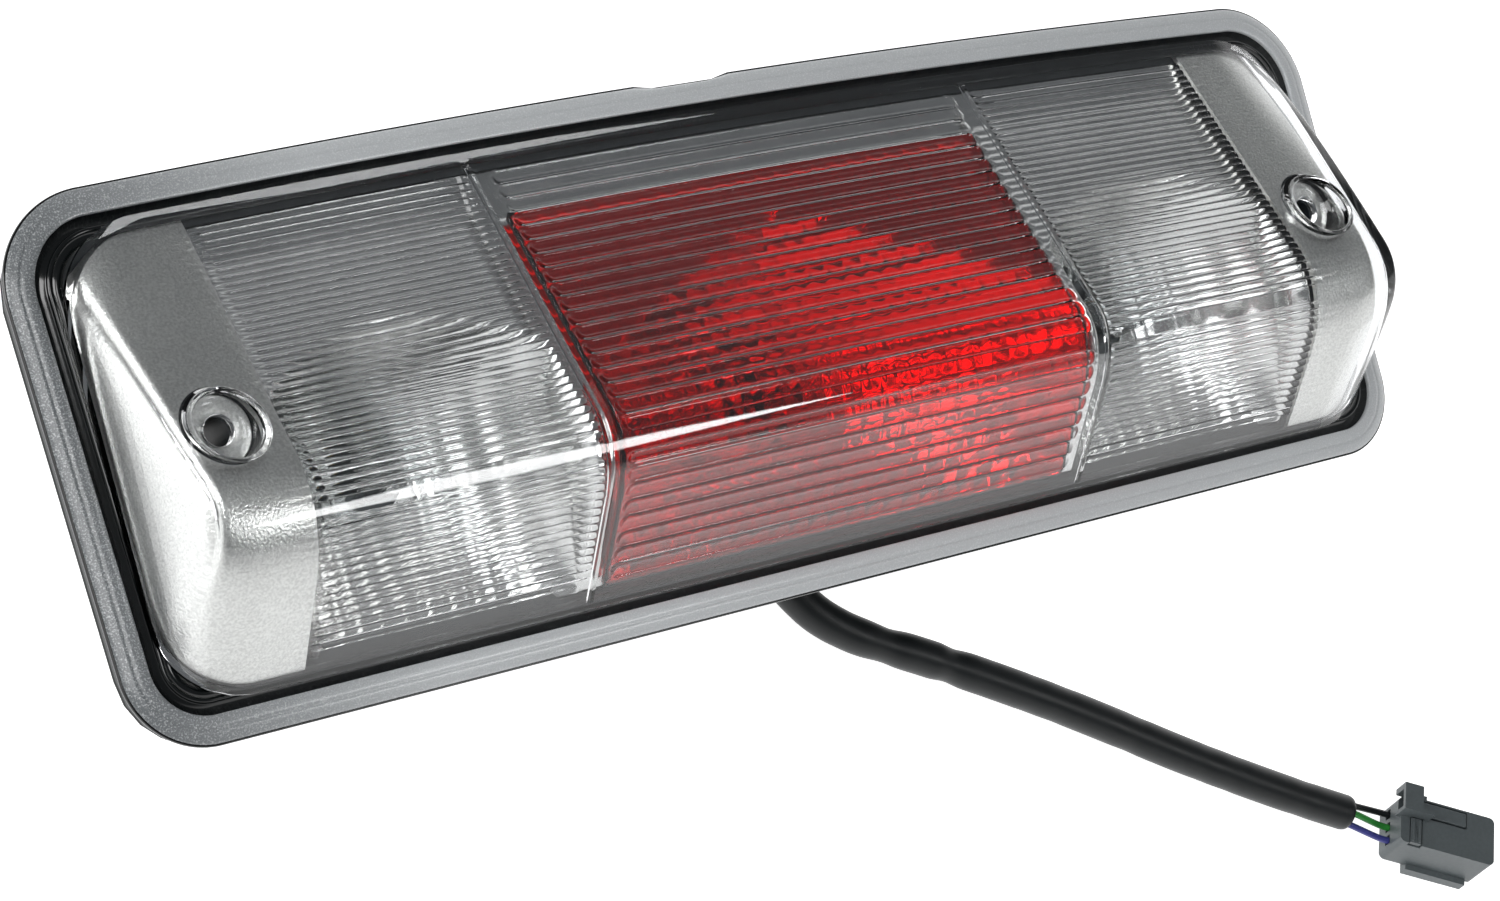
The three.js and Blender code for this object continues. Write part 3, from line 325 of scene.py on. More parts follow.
def along_path(path, profile, sides):
    """Rings round a path: profile is (share along the path, radius) for each ring.

    A ring's centre is the path at that share, and its points are centre + radius (cos a side +
    sin a up), with side level and square to the path.
    """
    step = np.linalg.norm(np.diff(path, axis=0), axis=1)
    travelled = np.concatenate([[0], np.cumsum(step)]) / step.sum()
    share, radius = np.asarray(profile, float).T
    centre = np.stack([np.interp(share, travelled, path[:, k]) for k in range(3)], -1)
    tangent = np.gradient(path, axis=0)
    tangent = np.stack([np.interp(share, travelled, tangent[:, k]) for k in range(3)], -1)
    tangent /= np.linalg.norm(tangent, axis=1, keepdims=True)
    side = np.cross(tangent, (0, 0, 1.0))
    side /= np.linalg.norm(side, axis=1, keepdims=True)
    up = np.cross(side, tangent)
    angle = np.linspace(0, 2 * pi, sides, endpoint=False)[None, :, None]
    ring = np.cos(angle) * side[:, None] + np.sin(angle) * up[:, None]
    points = centre[:, None] + np.asarray(radius)[:, None, None] * ring
    return points.reshape(-1, 3), grid_faces(len(share), sides, wrap_columns=True)[:, ::-1]


def cut(piece, cutters):
    """Takes the cutters' solids out of a piece, and removes them."""
    for cutter in cutters:
        modifier = piece.modifiers.new("cut", "BOOLEAN")
        modifier.operation, modifier.object, modifier.solver = "DIFFERENCE", cutter, "MANIFOLD"
    graph = bpy.context.evaluated_depsgraph_get()
    mesh = bpy.data.meshes.new_from_object(piece.evaluated_get(graph))
    piece.modifiers.clear()
    piece.data = mesh
    for cutter in cutters:
        bpy.data.objects.remove(cutter)


def cutter_cylinder(x, y, radius, low, high, sides=72):
    """A plain cylinder to cut with."""
    profile = [(0, low), (radius, low), (radius, high), (0, high)]
    return mesh_object("cutter", *turned(profile, x, y, sides), face_outwards=True)


def well_cutter(side, radius):
    """Cuts the way for the screw's well at one end."""
    return cutter_cylinder(side * SCREW_X, SCREW_Y, radius, SEAT_Z - CUT_BELOW_SEAT, CUT_TOP)


# ---- The lens body's shape ----

def blended_minimum(a, b, blend):
    """The lower of two heights, less blend / 4 times the square of how near they are."""
    nearness = np.clip(blend - np.abs(a - b), 0, None) / blend
    return np.minimum(a, b) - nearness ** 2 * blend / 4


def face_height(y, from_end, offset, blends=(RIDGE_BLEND, END_BLEND)):
    """Height over the flange of a sheet lying offset under the lens's outer face.

    The upper face falls towards +y, the lower face towards -y and the end wall towards the
    body's end; each is moved down by offset square to itself, and they round into each other.
    """
    foot_top, foot_bottom = HALF_WIDTH - BODY_INSET_TOP, BODY_INSET_BOTTOM - HALF_WIDTH
    upper = (TOP_FACE_FOOT + TOP_FACE_SLOPE * (foot_top - y)
             - offset * hypot(1, TOP_FACE_SLOPE))
    lower = (LOWER_FACE_FOOT + LOWER_FACE_SLOPE * (y - foot_bottom)
             - offset * hypot(1, LOWER_FACE_SLOPE))
    end = END_WALL_SLOPE * from_end - offset * hypot(1, END_WALL_SLOPE)
    return blended_minimum(blended_minimum(upper, lower, blends[0]), end, blends[1])


def body_sheet(x, share, offset, blends=(RIDGE_BLEND, END_BLEND)):
    """Points of a sheet offset under the lens's outer face.

    x runs along the lamp and share from 0 at the bottom edge to 1 at the top edge. The edges draw
    in by a quarter circle at each end, and the top edge falls by TOP_ARCH times x squared.
    """
    x, share = np.broadcast_arrays(np.asarray(x, float)[:, None], np.asarray(share, float)[None, :])
    half_x = HALF_LENGTH - BODY_INSET_END - offset
    top = HALF_WIDTH - BODY_INSET_TOP - offset
    bottom = BODY_INSET_BOTTOM - HALF_WIDTH + offset
    corner = max(BODY_CORNER - offset, 4)
    from_end = np.clip(half_x - np.abs(x), 0, None)
    inward = np.clip(corner - from_end, 0, None)
    drop = corner - np.sqrt(corner ** 2 - inward ** 2)
    low, high = bottom + drop, top - drop - TOP_ARCH * (x / half_x) ** 2
    station = bottom + share * (top - bottom)
    height = face_height(station, from_end + offset, offset, blends)
    return np.stack([x, low + share * (high - low), FACE_Z + height], -1)


def with_feet(sheet, foot):
    """The sheet with a row added along each long edge, straight down at foot height."""
    first, last = sheet[:, :1].copy(), sheet[:, -1:].copy()
    first[..., 2] = last[..., 2] = foot
    return np.concatenate([first, sheet, last], 1)


def with_walls(sheet, foot, lowest):
    """The sheet brought down to foot height all round, and nowhere else under lowest."""
    sheet = sheet.copy()
    sheet[..., 2] = np.maximum(sheet[..., 2], lowest)
    sheet[0, :, 2] = sheet[-1, :, 2] = foot
    return with_feet(sheet, foot)


def flutes(x, y, section, pitch, depth, rows):
    """Depth of round-ended flutes along x, rows being (lowest y, highest y).

    Across a flute the depth is one minus the fourth power of how far the point is from its middle,
    and each end is the same curve turned round.
    """
    left, right = section
    low, high = rows
    count = max(round((high - low) / pitch), 1)
    place = (y - low) / (high - low) * count
    across = 2 * (place - np.floor(place)) - 1
    half = (high - low) / count / 2
    past = np.clip(np.maximum(left + half - x, x - (right - half)), 0, None) / half
    inside = (y > low) & (y < high)
    return depth * np.clip(1 - (across ** 2 + past ** 2) ** 2, 0, None) * inside


def rows_by_flute(low, high, count):
    """Positions across count flutes, close together at their edges."""
    shares = np.array([0, 0.06, 0.15, 0.5, 0.85, 0.94])
    return (low + (high - low) / count * (np.arange(count)[:, None] + shares)).reshape(-1)


def spread(*stops):
    """Positions from (start, spacing) stops up to a last plain stop, evenly spaced between."""
    places = [np.linspace(a[0], b[0], max(int(round((b[0] - a[0]) / a[1])), 1), endpoint=False)
              for a, b in zip(stops[:-1], stops[1:])]
    return np.concatenate([*places, [stops[-1][0]]])


def mirrored(half):
    """Positions from 0 outward, with the same on the other side."""
    return np.concatenate([-half[:0:-1], half])


def outline(inset, count):
    """The flange's outline moved in by inset: count points on each of its eight stretches."""
    top, bottom = HALF_WIDTH - inset - TOP_ARCH, inset - HALF_WIDTH
    top_half, bottom_half = HALF_LENGTH + SIDE_SLANT - inset, HALF_LENGTH - SIDE_SLANT - inset
    rt, rb = max(TOP_CORNER - inset, 3), max(BOTTOM_CORNER - inset, 3)
    t = np.linspace(0, 1, count, endpoint=False)[:, None]
    k = 0.5523

    def line(a, b):
        return np.array(a) + (np.array(b) - np.array(a)) * t

    def bend(a, b, c, d):
        a, b, c, d = (np.array(p) for p in (a, b, c, d))
        return (1 - t) ** 3 * a + 3 * (1 - t) ** 2 * t * b + 3 * (1 - t) * t ** 2 * c + t ** 3 * d

    crown = (1 - t) ** 2 * np.array((top_half - rt, top)) + 2 * (1 - t) * t * np.array(
        (0, top + 2 * TOP_ARCH)) + t ** 2 * np.array((rt - top_half, top))
    return np.concatenate([
        line((rb - bottom_half, bottom), (bottom_half - rb, bottom)),
        bend((bottom_half - rb, bottom), (bottom_half - rb * (1 - k), bottom),
             (bottom_half, bottom + rb * (1 - k)), (bottom_half, bottom + rb)),
        line((bottom_half, bottom + rb), (top_half, top - rt)),
        bend((top_half, top - rt), (top_half, top - rt * (1 - k)),
             (top_half - rt * (1 - k), top), (top_half - rt, top)),
        crown,
        bend((rt - top_half, top), (rt * (1 - k) - top_half, top),
             (-top_half, top - rt * (1 - k)), (-top_half, top - rt)),
        line((-top_half, top - rt), (-bottom_half, bottom + rb)),
        bend((-bottom_half, bottom + rb), (-bottom_half, bottom + rb * (1 - k)),
             (rb * (1 - k) - bottom_half, bottom), (rb - bottom_half, bottom)),
    ])


def ring(profile, notched=False):
    """A profile of (inset, z) carried round the flange's outline, closed on itself."""
    loops = []
    for inset, z in profile:
        loop = outline(inset + EDGE_TRIM, FLANGE_STEPS)
        if notched:
            edge = HALF_WIDTH - NOTCH_DEPTH
            near = np.clip((NOTCH_LENGTH / 2 + 0.8 - np.abs(loop[:, 0] - NOTCH_X)) / 1.6, 0, 1)
            cut_y = np.minimum(loop[:, 1], edge)
            loop[:, 1] = np.where(loop[:, 1] > 0, loop[:, 1] + near * (cut_y - loop[:, 1]), loop[:, 1])
        loops.append(np.column_stack([loop, np.full(len(loop), z)]))
    points = np.stack(loops, 1)
    faces = grid_faces(len(points), len(profile), wrap_rows=True, wrap_columns=True)
    return points.reshape(-1, 3), faces


# ---- What a user would change ----

class LampColours(PropertyGroup):
    """Colours of the lamp's own mouldings."""
    clear: FloatVectorProperty(name="Clear lens", description="Tint of the clear polycarbonate",
                               subtype="COLOR", size=3, default=linear("f6f7f8")[:3])
    red: FloatVectorProperty(name="Red lens", description="Colour that the red acrylic passes",
                             subtype="COLOR", size=3, default=linear("ff1a10")[:3])


class FluteSizes(PropertyGroup):
    """Sizes of the optical flutes inside the lens."""
    cargo_upper: FloatProperty(name="Cargo upper pitch", description="Flute pitch over the cargo lamps",
                               default=1.97 * MM, unit="LENGTH", min=1 * MM)
    cargo_lower: FloatProperty(name="Cargo lower pitch", description="Flute pitch on their lower face",
                               default=1.59 * MM, unit="LENGTH", min=1 * MM)
    brake_upper: FloatProperty(name="Brake upper pitch", description="Flute pitch over the brake lamp",
                               default=3.9 * MM, unit="LENGTH", min=1 * MM)
    brake_lower: FloatProperty(name="Brake lower pitch", description="Flute pitch on its lower face",
                               default=3.0 * MM, unit="LENGTH", min=1 * MM)


class StudioSettings(PropertyGroup):
    """The stage's lights and camera."""
    key_power: FloatProperty(name="Key light", description="Power of the softbox over the left end",
                             default=2.6, subtype="POWER", unit="POWER", min=0)
    side_power: FloatProperty(name="Side light", description="Power of the softbox at the left end",
                              default=9.0, subtype="POWER", unit="POWER", min=0)
    fill_power: FloatProperty(name="Fill light", description="Power of the softbox over the camera",
                              default=7.0, subtype="POWER", unit="POWER", min=0)
    sky: FloatProperty(name="Room", description="Brightness of the room's light walls", default=1.05, min=0)
    lens: FloatProperty(name="Focal length", description="Camera lens in millimetres", default=82.93,
                        subtype="DISTANCE_CAMERA", min=10)


# ---- Pieces ----

class StageOperator(Operator):
    """Floor, room light, softboxes and camera"""
    bl_idname = "brakelight.stage"
    bl_label = "Stage"

    def execute(self, context):
        settings = context.scene.brakelight_studio
        scene = context.scene
        camera = bpy.data.cameras.new("camera")
        camera.lens, camera.sensor_width = settings.lens, 36.0
        camera.shift_x, camera.shift_y = CAMERA_SHIFT
        camera.clip_start, camera.clip_end = 0.05, 20.0
        view = bpy.data.objects.new("camera", camera)
        rows = [(right, -down, -ahead, place) for right, down, ahead, place in
                zip(CAMERA_RIGHT, CAMERA_DOWN, CAMERA_AHEAD, CAMERA_PLACE)]
        view.matrix_world = Matrix([*rows, (0, 0, 0, 1)])
        scene.collection.objects.link(view)
        scene.camera = view
        scene.view_settings.view_transform = "Standard"

        self.floor(scene)
        self.room(scene, settings.sky)
        for name, (direction, distance, size) in SOFTBOXES.items():
            power = getattr(settings, f"{name}_power")
            self.softbox(scene, f"{name}_softbox", direction, distance, size, power)
        return {"FINISHED"}

    @staticmethod
    def floor(scene):
        """A flat sheet 4 m across, just under the lamp."""
        half, level = FLOOR_HALF, -FLOOR_DROP
        points = [(-half, -half, level), (half, -half, level), (half, half, level), (-half, half, level)]
        # Matt white paper lit from behind: a pale even ground with soft shadows.
        glow = {"Emission Color": linear("ffffff"), "Emission Strength": 0.95}
        material = plain_surface("white_paper_sweep", "f7f7f7", 0.7, (1.5, 0.01), glow)
        mesh = bpy.data.meshes.new("floor")
        mesh.from_pydata([tuple(c * MM for c in p) for p in points], [], [(0, 1, 2, 3)])
        mesh.materials.append(material)
        floor = bpy.data.objects.new("floor", mesh)
        scene.collection.objects.link(floor)

    @staticmethod
    def room(scene, strength):
        """Light walls low down, higher at the front than behind, and grey overhead."""
        world = bpy.data.worlds.new("room")
        scene.world = world
        world.use_nodes = True
        tree = world.node_tree
        tree.nodes.clear()
        output = tree.nodes.new("ShaderNodeOutputWorld")
        place = add(tree, "TexCoord", {}, {})
        axes = add(tree, "SeparateXYZ", {}, {0: place.outputs["Generated"]})
        height = add(tree, "Math", {"operation": "MULTIPLY_ADD"}, {0: axes.outputs["Y"], 1: 0.2,
                                                                   2: axes.outputs["Z"]})
        ramp = add(tree, "ValToRGB", {}, {0: height.outputs[0]})
        stops = ramp.color_ramp.elements
        stops[0].position, stops[0].color = 0.33, linear("ffffff")
        stops[1].position, stops[1].color = 0.45, linear("606264")
        light = add(tree, "Background", {}, {"Color": ramp.outputs[0], "Strength": strength})
        tree.links.new(light.outputs[0], output.inputs["Surface"])

    @staticmethod
    def softbox(scene, name, direction, distance, size, power):
        """A soft rectangular light that faces the lamp from a direction."""
        lamp = bpy.data.lights.new(name, "AREA")
        lamp.shape, lamp.size, lamp.size_y, lamp.energy = "RECTANGLE", *size, power
        box = bpy.data.objects.new(name, lamp)
        towards = Vector(direction).normalized()
        box.location = towards * distance + Vector(LIGHT_TARGET)
        box.rotation_euler = towards.to_track_quat("Z", "Y").to_euler()
        scene.collection.objects.link(box)


class HarnessOperator(Operator):
    """Sleeve, its wires and the plug"""
    bl_idname = "brakelight.harness"
    bl_label = "Harness"

    def execute(self, context):
        # Extruded PVC: a dull black skin with long soft ripples, and smooth thin wire covers.
        pvc = {"Specular IOR Level": 0.4}
        sleeve_skin = plain_surface("extruded_pvc_sleeve", "070e10", 0.42, (6.0, 0.1), pvc)
        wires = {name: plain_surface(f"{name}_pvc_wire", code, 0.35, (2.0, 0.02), pvc)
                 for name, code in (("green", "2c8a35"), ("blue", "3c3f86"), ("black", "14181a"))}
        path = smooth_path([(x, y, SLEEVE_Z) for x, y in SLEEVE_TRAIL], 12)
        share = np.linspace(0, 1, 240)
        swell = 1 + 0.012 * np.sin(46 * share) + 0.010 * np.sin(113 * share + 1)
        crease = sum(depth * np.exp(-((share - place) / width) ** 2)
                     for depth, place, width in ((0.09, 0.27, 0.02), (0.08, 0.36, 0.016)))
        skin = SLEEVE_R * np.clip(swell - crease, 0.86, 1.0)
        mouth = [(0.03, 0.2), (0.03, 3.9), (0.0, 4.1), (0.0, 4.6)]
        far = [(1.0, 4.6), (1.0, 4.1), (0.97, 3.9), (0.97, 0.2)]
        rings = [(0.03, 0.001), *mouth, *zip(share[1:-1], skin[1:-1]), *far, (0.97, 0.001)]
        points, faces = along_path(path, rings, 28)
        sleeve = make_piece("sleeve", points, faces, sleeve_skin, "pvc_sleeve")
        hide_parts("harness_sleeve")

        plug = self.plug()
        end, ahead = path[-1], path[-1] - path[-6]
        ahead = ahead / np.linalg.norm(ahead)
        aside = np.array((-ahead[1], ahead[0], 0))
        frame_matrix = plug_matrix()
        for index, name in enumerate(("blue", "green", "black")):
            y = (index - 1) * TERMINAL_PITCH
            start = end + 0.72 * y * aside + np.array((0, 0, 1.5 if index == 1 else -0.4)) - 4.5 * ahead
            way = [frame_matrix @ Vector((dx, y, 4.9)) for dx in (-2.5, 2.6)]
            route = [start, start + 4.8 * ahead, start + 7.5 * ahead, *[np.array(p) for p in way]]
            line = smooth_path(route, 8)
            tube = along_path(line, wire_rings(0.02, 40), 16)
            wire = make_piece(f"wire_{name}", *tube, wires[name], f"{name}_wire")
            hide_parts(f"plug_wire_{name}")
        self.inside(wires)
        return {"FINISHED"}

    @staticmethod
    def inside(wires):
        """The lamp's own wires, from each socket to the sleeve."""
        for name, lamp in LAMPS.items():
            for kind, z in (("feed", 5.8), ("ground", 3.2)):
                if name == "brake":
                    side = -1.3 if kind == "feed" else 1.3
                    top = lamp["y"] - GRIP_SWEEP
                    end_z = 6.8 if kind == "feed" else 2.9
                    route = [(side, top, 4.4), (1.2 * side, top - 3, 4.4),
                             (CABLE_X + 0.4 * side, top - 8.5, end_z), (CABLE_X, -35.2, end_z)]
                    colour = "green" if kind == "feed" else "black"
                else:
                    side = np.sign(lamp["x"])
                    end_z = 6.2 if kind == "feed" else 3.7
                    x, y = lamp["x"] - GRIP_SWEEP * side, lamp["y"]
                    route = [(x, y, z), (x - 4 * side, y - 0.6, z), (x - 14 * side, -25.6, z),
                             (x - 30 * side, -29.6, z), (CABLE_X + 24 * side, -29.6, end_z),
                             (CABLE_X + 9 * side, -30, end_z), (CABLE_X + 4 * side, -32.2, end_z),
                             (CABLE_X + 2.7 * side, -35.2, end_z)]
                    colour = "blue" if kind == "feed" else "black"
                line = smooth_path(route, 10)
                tube = along_path(line, wire_rings(0.01, 60), 12)
                wire = make_piece(f"{name}_{kind}_wire", *tube, wires[colour], f"{colour}_wire")
                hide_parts(f"{name}_wire_{kind}")

    @staticmethod
    def plug():
        """The plug's mouldings with their edges rounded, and brass terminals."""
        # Moulded nylon: a flat grey with a fine grain, drawn 0.9 mm across so that it shows.
        nylon = plain_surface("moulded_grey_nylon", "545b5d", 0.45, (0.9, 0.02))
        # Pressed brass: a warm metal with slight waviness.
        brass = plain_surface("pressed_brass", "b9975a", 0.3, (1.2, 0.01), {"Metallic": 1.0})
        pieces = [rounded_copy("connector_body", "plug_body", 0.5, nylon, LAMP),
                  rounded_copy("connector_latch", "plug_lever", 0.25, nylon, "plug_latch"),
                  rounded_copy("connector_lock", "plug_lock", 0.15, nylon, LAMP)]
        for name in ("blue", "green", "black"):
            dress(f"terminal_{name}", brass)
            pieces.append(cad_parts[f"terminal_{name}"])
        return pieces


def wire_rings(margin, count):
    """A wire's rings: closed flat at both ends, and count rings between from margin inwards."""
    middle = [(share, WIRE_R) for share in np.linspace(margin, 1 - margin, count)]
    return [(0, 0.001), (0, WIRE_R), *middle, (1, WIRE_R), (1, 0.001)]


def plug_matrix():
    """The plug's own frame in the lamp's, in millimetres: turned about X, then Y, then Z."""
    roll, pitch, yaw = (radians(a) for a in PLUG_TURN)
    turn = Matrix.Rotation(yaw, 4, "Z") @ Matrix.Rotation(pitch, 4, "Y") @ Matrix.Rotation(roll, 4, "X")
    return Matrix.Translation(PLUG_AT) @ turn


def dress(node, material):
    """Gives a CAD node a material."""
    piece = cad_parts[node]
    piece.data.materials.clear()
    piece.data.materials.append(material)


def rounded_copy(node, name, radius_mm, material, body, segments=3):
    """A merged copy of a CAD node with its sharp edges rounded, which stands for the node."""
    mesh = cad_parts[node].data.copy()
    mesh.name = name
    work = bmesh.new()
    work.from_mesh(mesh)
    bmesh.ops.remove_doubles(work, verts=work.verts, dist=2e-6)
    bmesh.ops.dissolve_limit(work, angle_limit=radians(1), verts=work.verts, edges=work.edges)
    work.to_mesh(mesh)
    work.free()
    for attribute in [a.name for a in mesh.attributes if a.name == "custom_normal"]:
        mesh.attributes.remove(mesh.attributes[attribute])
    mesh.materials.clear()
    mesh.materials.append(material)
    mesh.shade_smooth()
    piece = bpy.data.objects.new(name, mesh)
    bpy.context.scene.collection.objects.link(piece)
    edge = piece.modifiers.new("edge", "BEVEL")
    edge.width, edge.segments, edge.angle_limit = radius_mm * MM, segments, radians(30)
    edge.harden_normals = True
    edge.use_clamp_overlap = True
    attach(piece, body)
    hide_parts(node)
    return piece


class OuterLensOperator(Operator):
    """Clear lens body with its flutes, screw wells and flange"""
    bl_idname = "brakelight.outer_lens"
    bl_label = "Clear lens"

    def execute(self, context):
        # Polished polycarbonate: a hard clear gloss with a long faint ripple from the mould's flow.
        tint = (*context.scene.brakelight_colours.clear, 1.0)
        clear = clear_surface("clear_polycarbonate", tint, 0.01, 1.585, (25.0, 0.004))
        self.body(context.scene.brakelight_flutes, clear)
        self.flange()
        for side in (-1, 1):
            self.screw_well(side, clear)
        return {"FINISHED"}

    def body(self, sizes, clear):
        """The raised body: a smooth outer sheet, and an inner one with the flutes and ribs."""
        half = HALF_LENGTH - BODY_INSET_END
        x = mirrored(spread((0, 8.0), (63, 0.7), (74.8, 8.0), (134, 3.5), (141.0, 0.4), (143.0, 4.5),
                            (164.5, 0.45), (half, 0)))
        station = self.stations(sizes)
        share = (station - station[0]) / (station[-1] - station[0])
        foot = FACE_Z + WALL_FOOT_GAP
        outer = body_sheet(x, share, 0)
        outer[..., 2] -= CROWN_TRIM
        outer = with_walls(outer, foot, foot + 0.05)
        inner = body_sheet(x * (half - LENS_WALL) / half, share, LENS_WALL)
        inner[..., 2] -= self.relief(inner[..., 0], station, sizes)
        inner = with_walls(inner, foot, foot)
        body = make_piece("lens_body", *closed_between(outer, inner), clear, "clear_polycarbonate")
        cut(body, [well_cutter(side, WELL_HOLE_R) for side in (-1, 1)])
        body.data.set_sharp_from_angle(angle=radians(35))
        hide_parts("outer_lens")

    @staticmethod
    def stations(sizes):
        """Positions across the body from its bottom edge, close together where flutes meet."""
        upper, lower = UPPER_ROWS, LOWER_ROWS
        cells = [round((high - low) * MM / pitch) for (low, high), pitch in
                 ((lower, sizes.cargo_lower), (upper, sizes.cargo_upper))]
        return np.concatenate([spread((-HALF_WIDTH + BODY_INSET_BOTTOM, 0.6), (lower[0], 0))[:-1],
                               rows_by_flute(*lower, cells[0]), spread((lower[1], 0.5), (upper[0], 0))[:-1],
                               rows_by_flute(*upper, cells[1]),
                               spread((upper[1], 0.5), (HALF_WIDTH - BODY_INSET_TOP, 0))])

    @staticmethod
    def relief(x, station, sizes):
        """Depth of the flutes, and of the ribs, whose section is a parabola."""
        y = np.broadcast_to(station[None, :], x.shape)
        depth = np.zeros_like(x)
        end = CENTRE_HALF - BRAKE_FLUTE_INSET
        upper, lower = BRAKE_FLUTE_DEPTHS
        depth += flutes(x, y, (-end, end), sizes.brake_upper / MM, upper, UPPER_ROWS)
        depth += flutes(x, y, (-end, end), sizes.brake_lower / MM, lower, LOWER_ROWS)
        upper, lower = CARGO_FLUTE_DEPTHS
        near, far = CARGO_FLUTE_INSETS
        for side in (-1, 1):
            ends = sorted((side * (CENTRE_HALF + near), side * (CARGO_END - far)))
            depth += flutes(x, y, ends, sizes.cargo_upper / MM, upper, UPPER_ROWS)
            depth += flutes(x, y, ends, sizes.cargo_lower / MM, lower, LOWER_ROWS)
        for line, half_width, height in RIBS:
            depth += height * np.clip(1 - ((np.abs(x) - line) / half_width) ** 2, 0, None)
        return depth

    @staticmethod
    def flange():
        """Rings of the flange from its edge inwards, each a profile of (inset, z)."""
        # Moulded-in grain over a black backing: grey, darker towards the left end as painted shade, with
        # bright specks that are painted glints. The grain is really about 0.1 mm across, and is drawn at
        # 0.4 mm so that it shows.
        edge = shaded_glinting_surface("grained_polycarbonate", ("43484b", "b4b7b9"), (-190.0, -110.0), 0.4)
        # Clear polycarbonate on black butyl: a black that looks wet.
        dark = plain_surface("polycarbonate_over_butyl", "06090a", 0.12, (3.0, 0.01), {"IOR": 1.585})
        groove_out, groove_in = GROOVE_INSET, GROOVE_INSET + GROOVE_WIDTH
        low, top = FACE_Z - FLANGE_THICKNESS, FACE_Z
        bed = top - GROOVE_DEPTH
        shelf = BODY_INSET_END + 2.6
        rings = {
            "flange_rim": (dark, [
                (0.5, low), (0.15, low + 0.1), (0.0, low + 0.35), (0.0, top - 1.75), (0.1, top - 1.5),
                (0.42, top - 1.3), (0.5, top - 1.4)]),
            "flange_band": (edge, [
                (0.51, low), (0.51, top - 1.3), (0.6, top - 1.2), (1.0, top - 0.98), (1.8, top - 0.66),
                (2.6, top - 0.42), (3.2, top - 0.28), (3.4, top - 0.36), (3.6, top - 0.2),
                (4.4, top - 0.08), (5.2, top), (groove_out, top), (groove_out + 0.25, top - 0.2),
                (groove_out + 0.25, low)]),
            "flange_groove": (dark, [
                (groove_out + 0.26, low), (groove_out + 0.26, bed), (groove_in - 0.3, bed),
                (groove_in, bed + 0.5), (groove_in + 0.1, top - 0.2), (BODY_INSET_END + 0.4, top - 0.2),
                (BODY_INSET_END + 0.4, low)]),
            "flange_land": (dark, [
                (BODY_INSET_END + 0.41, top - 1.0), (BODY_INSET_END + 0.41, top - 0.2),
                (shelf, top - 0.2), (shelf, top - 1.0)]),
        }
        for name, (material, profile) in rings.items():
            points, faces = ring(profile, notched=name in {"flange_rim", "flange_band"})
            make_piece(name, points, faces, material, "clear_polycarbonate")

    @staticmethod
    def screw_well(side, material):
        """A well round a screw hole: rings of radius and height, its lip following the lens."""
        sides = 72
        angle = np.linspace(0, 2 * pi, sides, endpoint=False)[:, None]
        back, seat = SEAT_Z - LENS_WALL, SEAT_Z
        bore, counter = SCREW_BORE_R, COUNTERBORE_R
        radius = np.array([bore, bore, 3.7, 5.2, 5.4, 7.6, counter, counter, 7.95, 8.75, 8.95, 8.95,
                           8.7, 3.7])
        drop = np.array([np.nan] * 7 + [0.35, 0.0, 0.0, 0.2, 2.4, np.nan, np.nan])
        level = np.array([back + 0.3, seat - 0.3, seat, seat, seat + 0.35, seat + 0.35, seat + 0.6,
                          0, 0, 0, 0, 0, back, back])
        x = side * SCREW_X + radius * np.cos(angle)
        y = SCREW_Y + radius * np.sin(angle)
        half = HALF_LENGTH - BODY_INSET_END
        surface = FACE_Z + face_height(y, half - np.abs(x), 0)
        z = np.where(np.isnan(drop), level, surface - np.nan_to_num(drop)) + 0 * x
        points = np.stack([x, y, z], -1).reshape(-1, 3)
        faces = grid_faces(sides, len(radius), wrap_rows=True, wrap_columns=True)[:, ::-1]
        name = "left" if side < 0 else "right"
        make_piece(f"screw_well_{name}", points, faces, material, "clear_polycarbonate")


class RedLensOperator(Operator):
    """Red lens inside the brake section"""
    bl_idname = "brakelight.red_lens"
    bl_label = "Red lens"

    def execute(self, context):
        # Cast red acrylic: a deep see-through red, duller than the lens over it.
        tint = (*context.scene.brakelight_colours.red, 1.0)
        red = clear_surface("red_acrylic", tint, 0.02, 1.49, (25.0, 0.004), 0.15)
        x = np.linspace(-RED_LENS_HALF, RED_LENS_HALF, 190)
        top = HALF_WIDTH - BODY_INSET_TOP - RED_LENS_OFFSET
        bottom = BODY_INSET_BOTTOM - HALF_WIDTH + RED_LENS_OFFSET
        share = np.linspace(0.01, (RED_LENS_TOP - bottom) / (top - bottom), 170)
        front = body_sheet(x, share, RED_LENS_OFFSET)
        back = body_sheet(x, share, RED_LENS_OFFSET + RED_LENS_WALL)
        pillow = np.abs(np.sin(pi * back[..., 0] / PILLOW_PITCH) * np.sin(pi * back[..., 1] / PILLOW_PITCH))
        back[..., 2] -= PILLOW_DEPTH * pillow
        points, faces = closed_between(front, back)
        lens = make_piece("red_lens", points, faces, red, "red_acrylic")
        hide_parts("red_inner_lens")
        return {"FINISHED"}


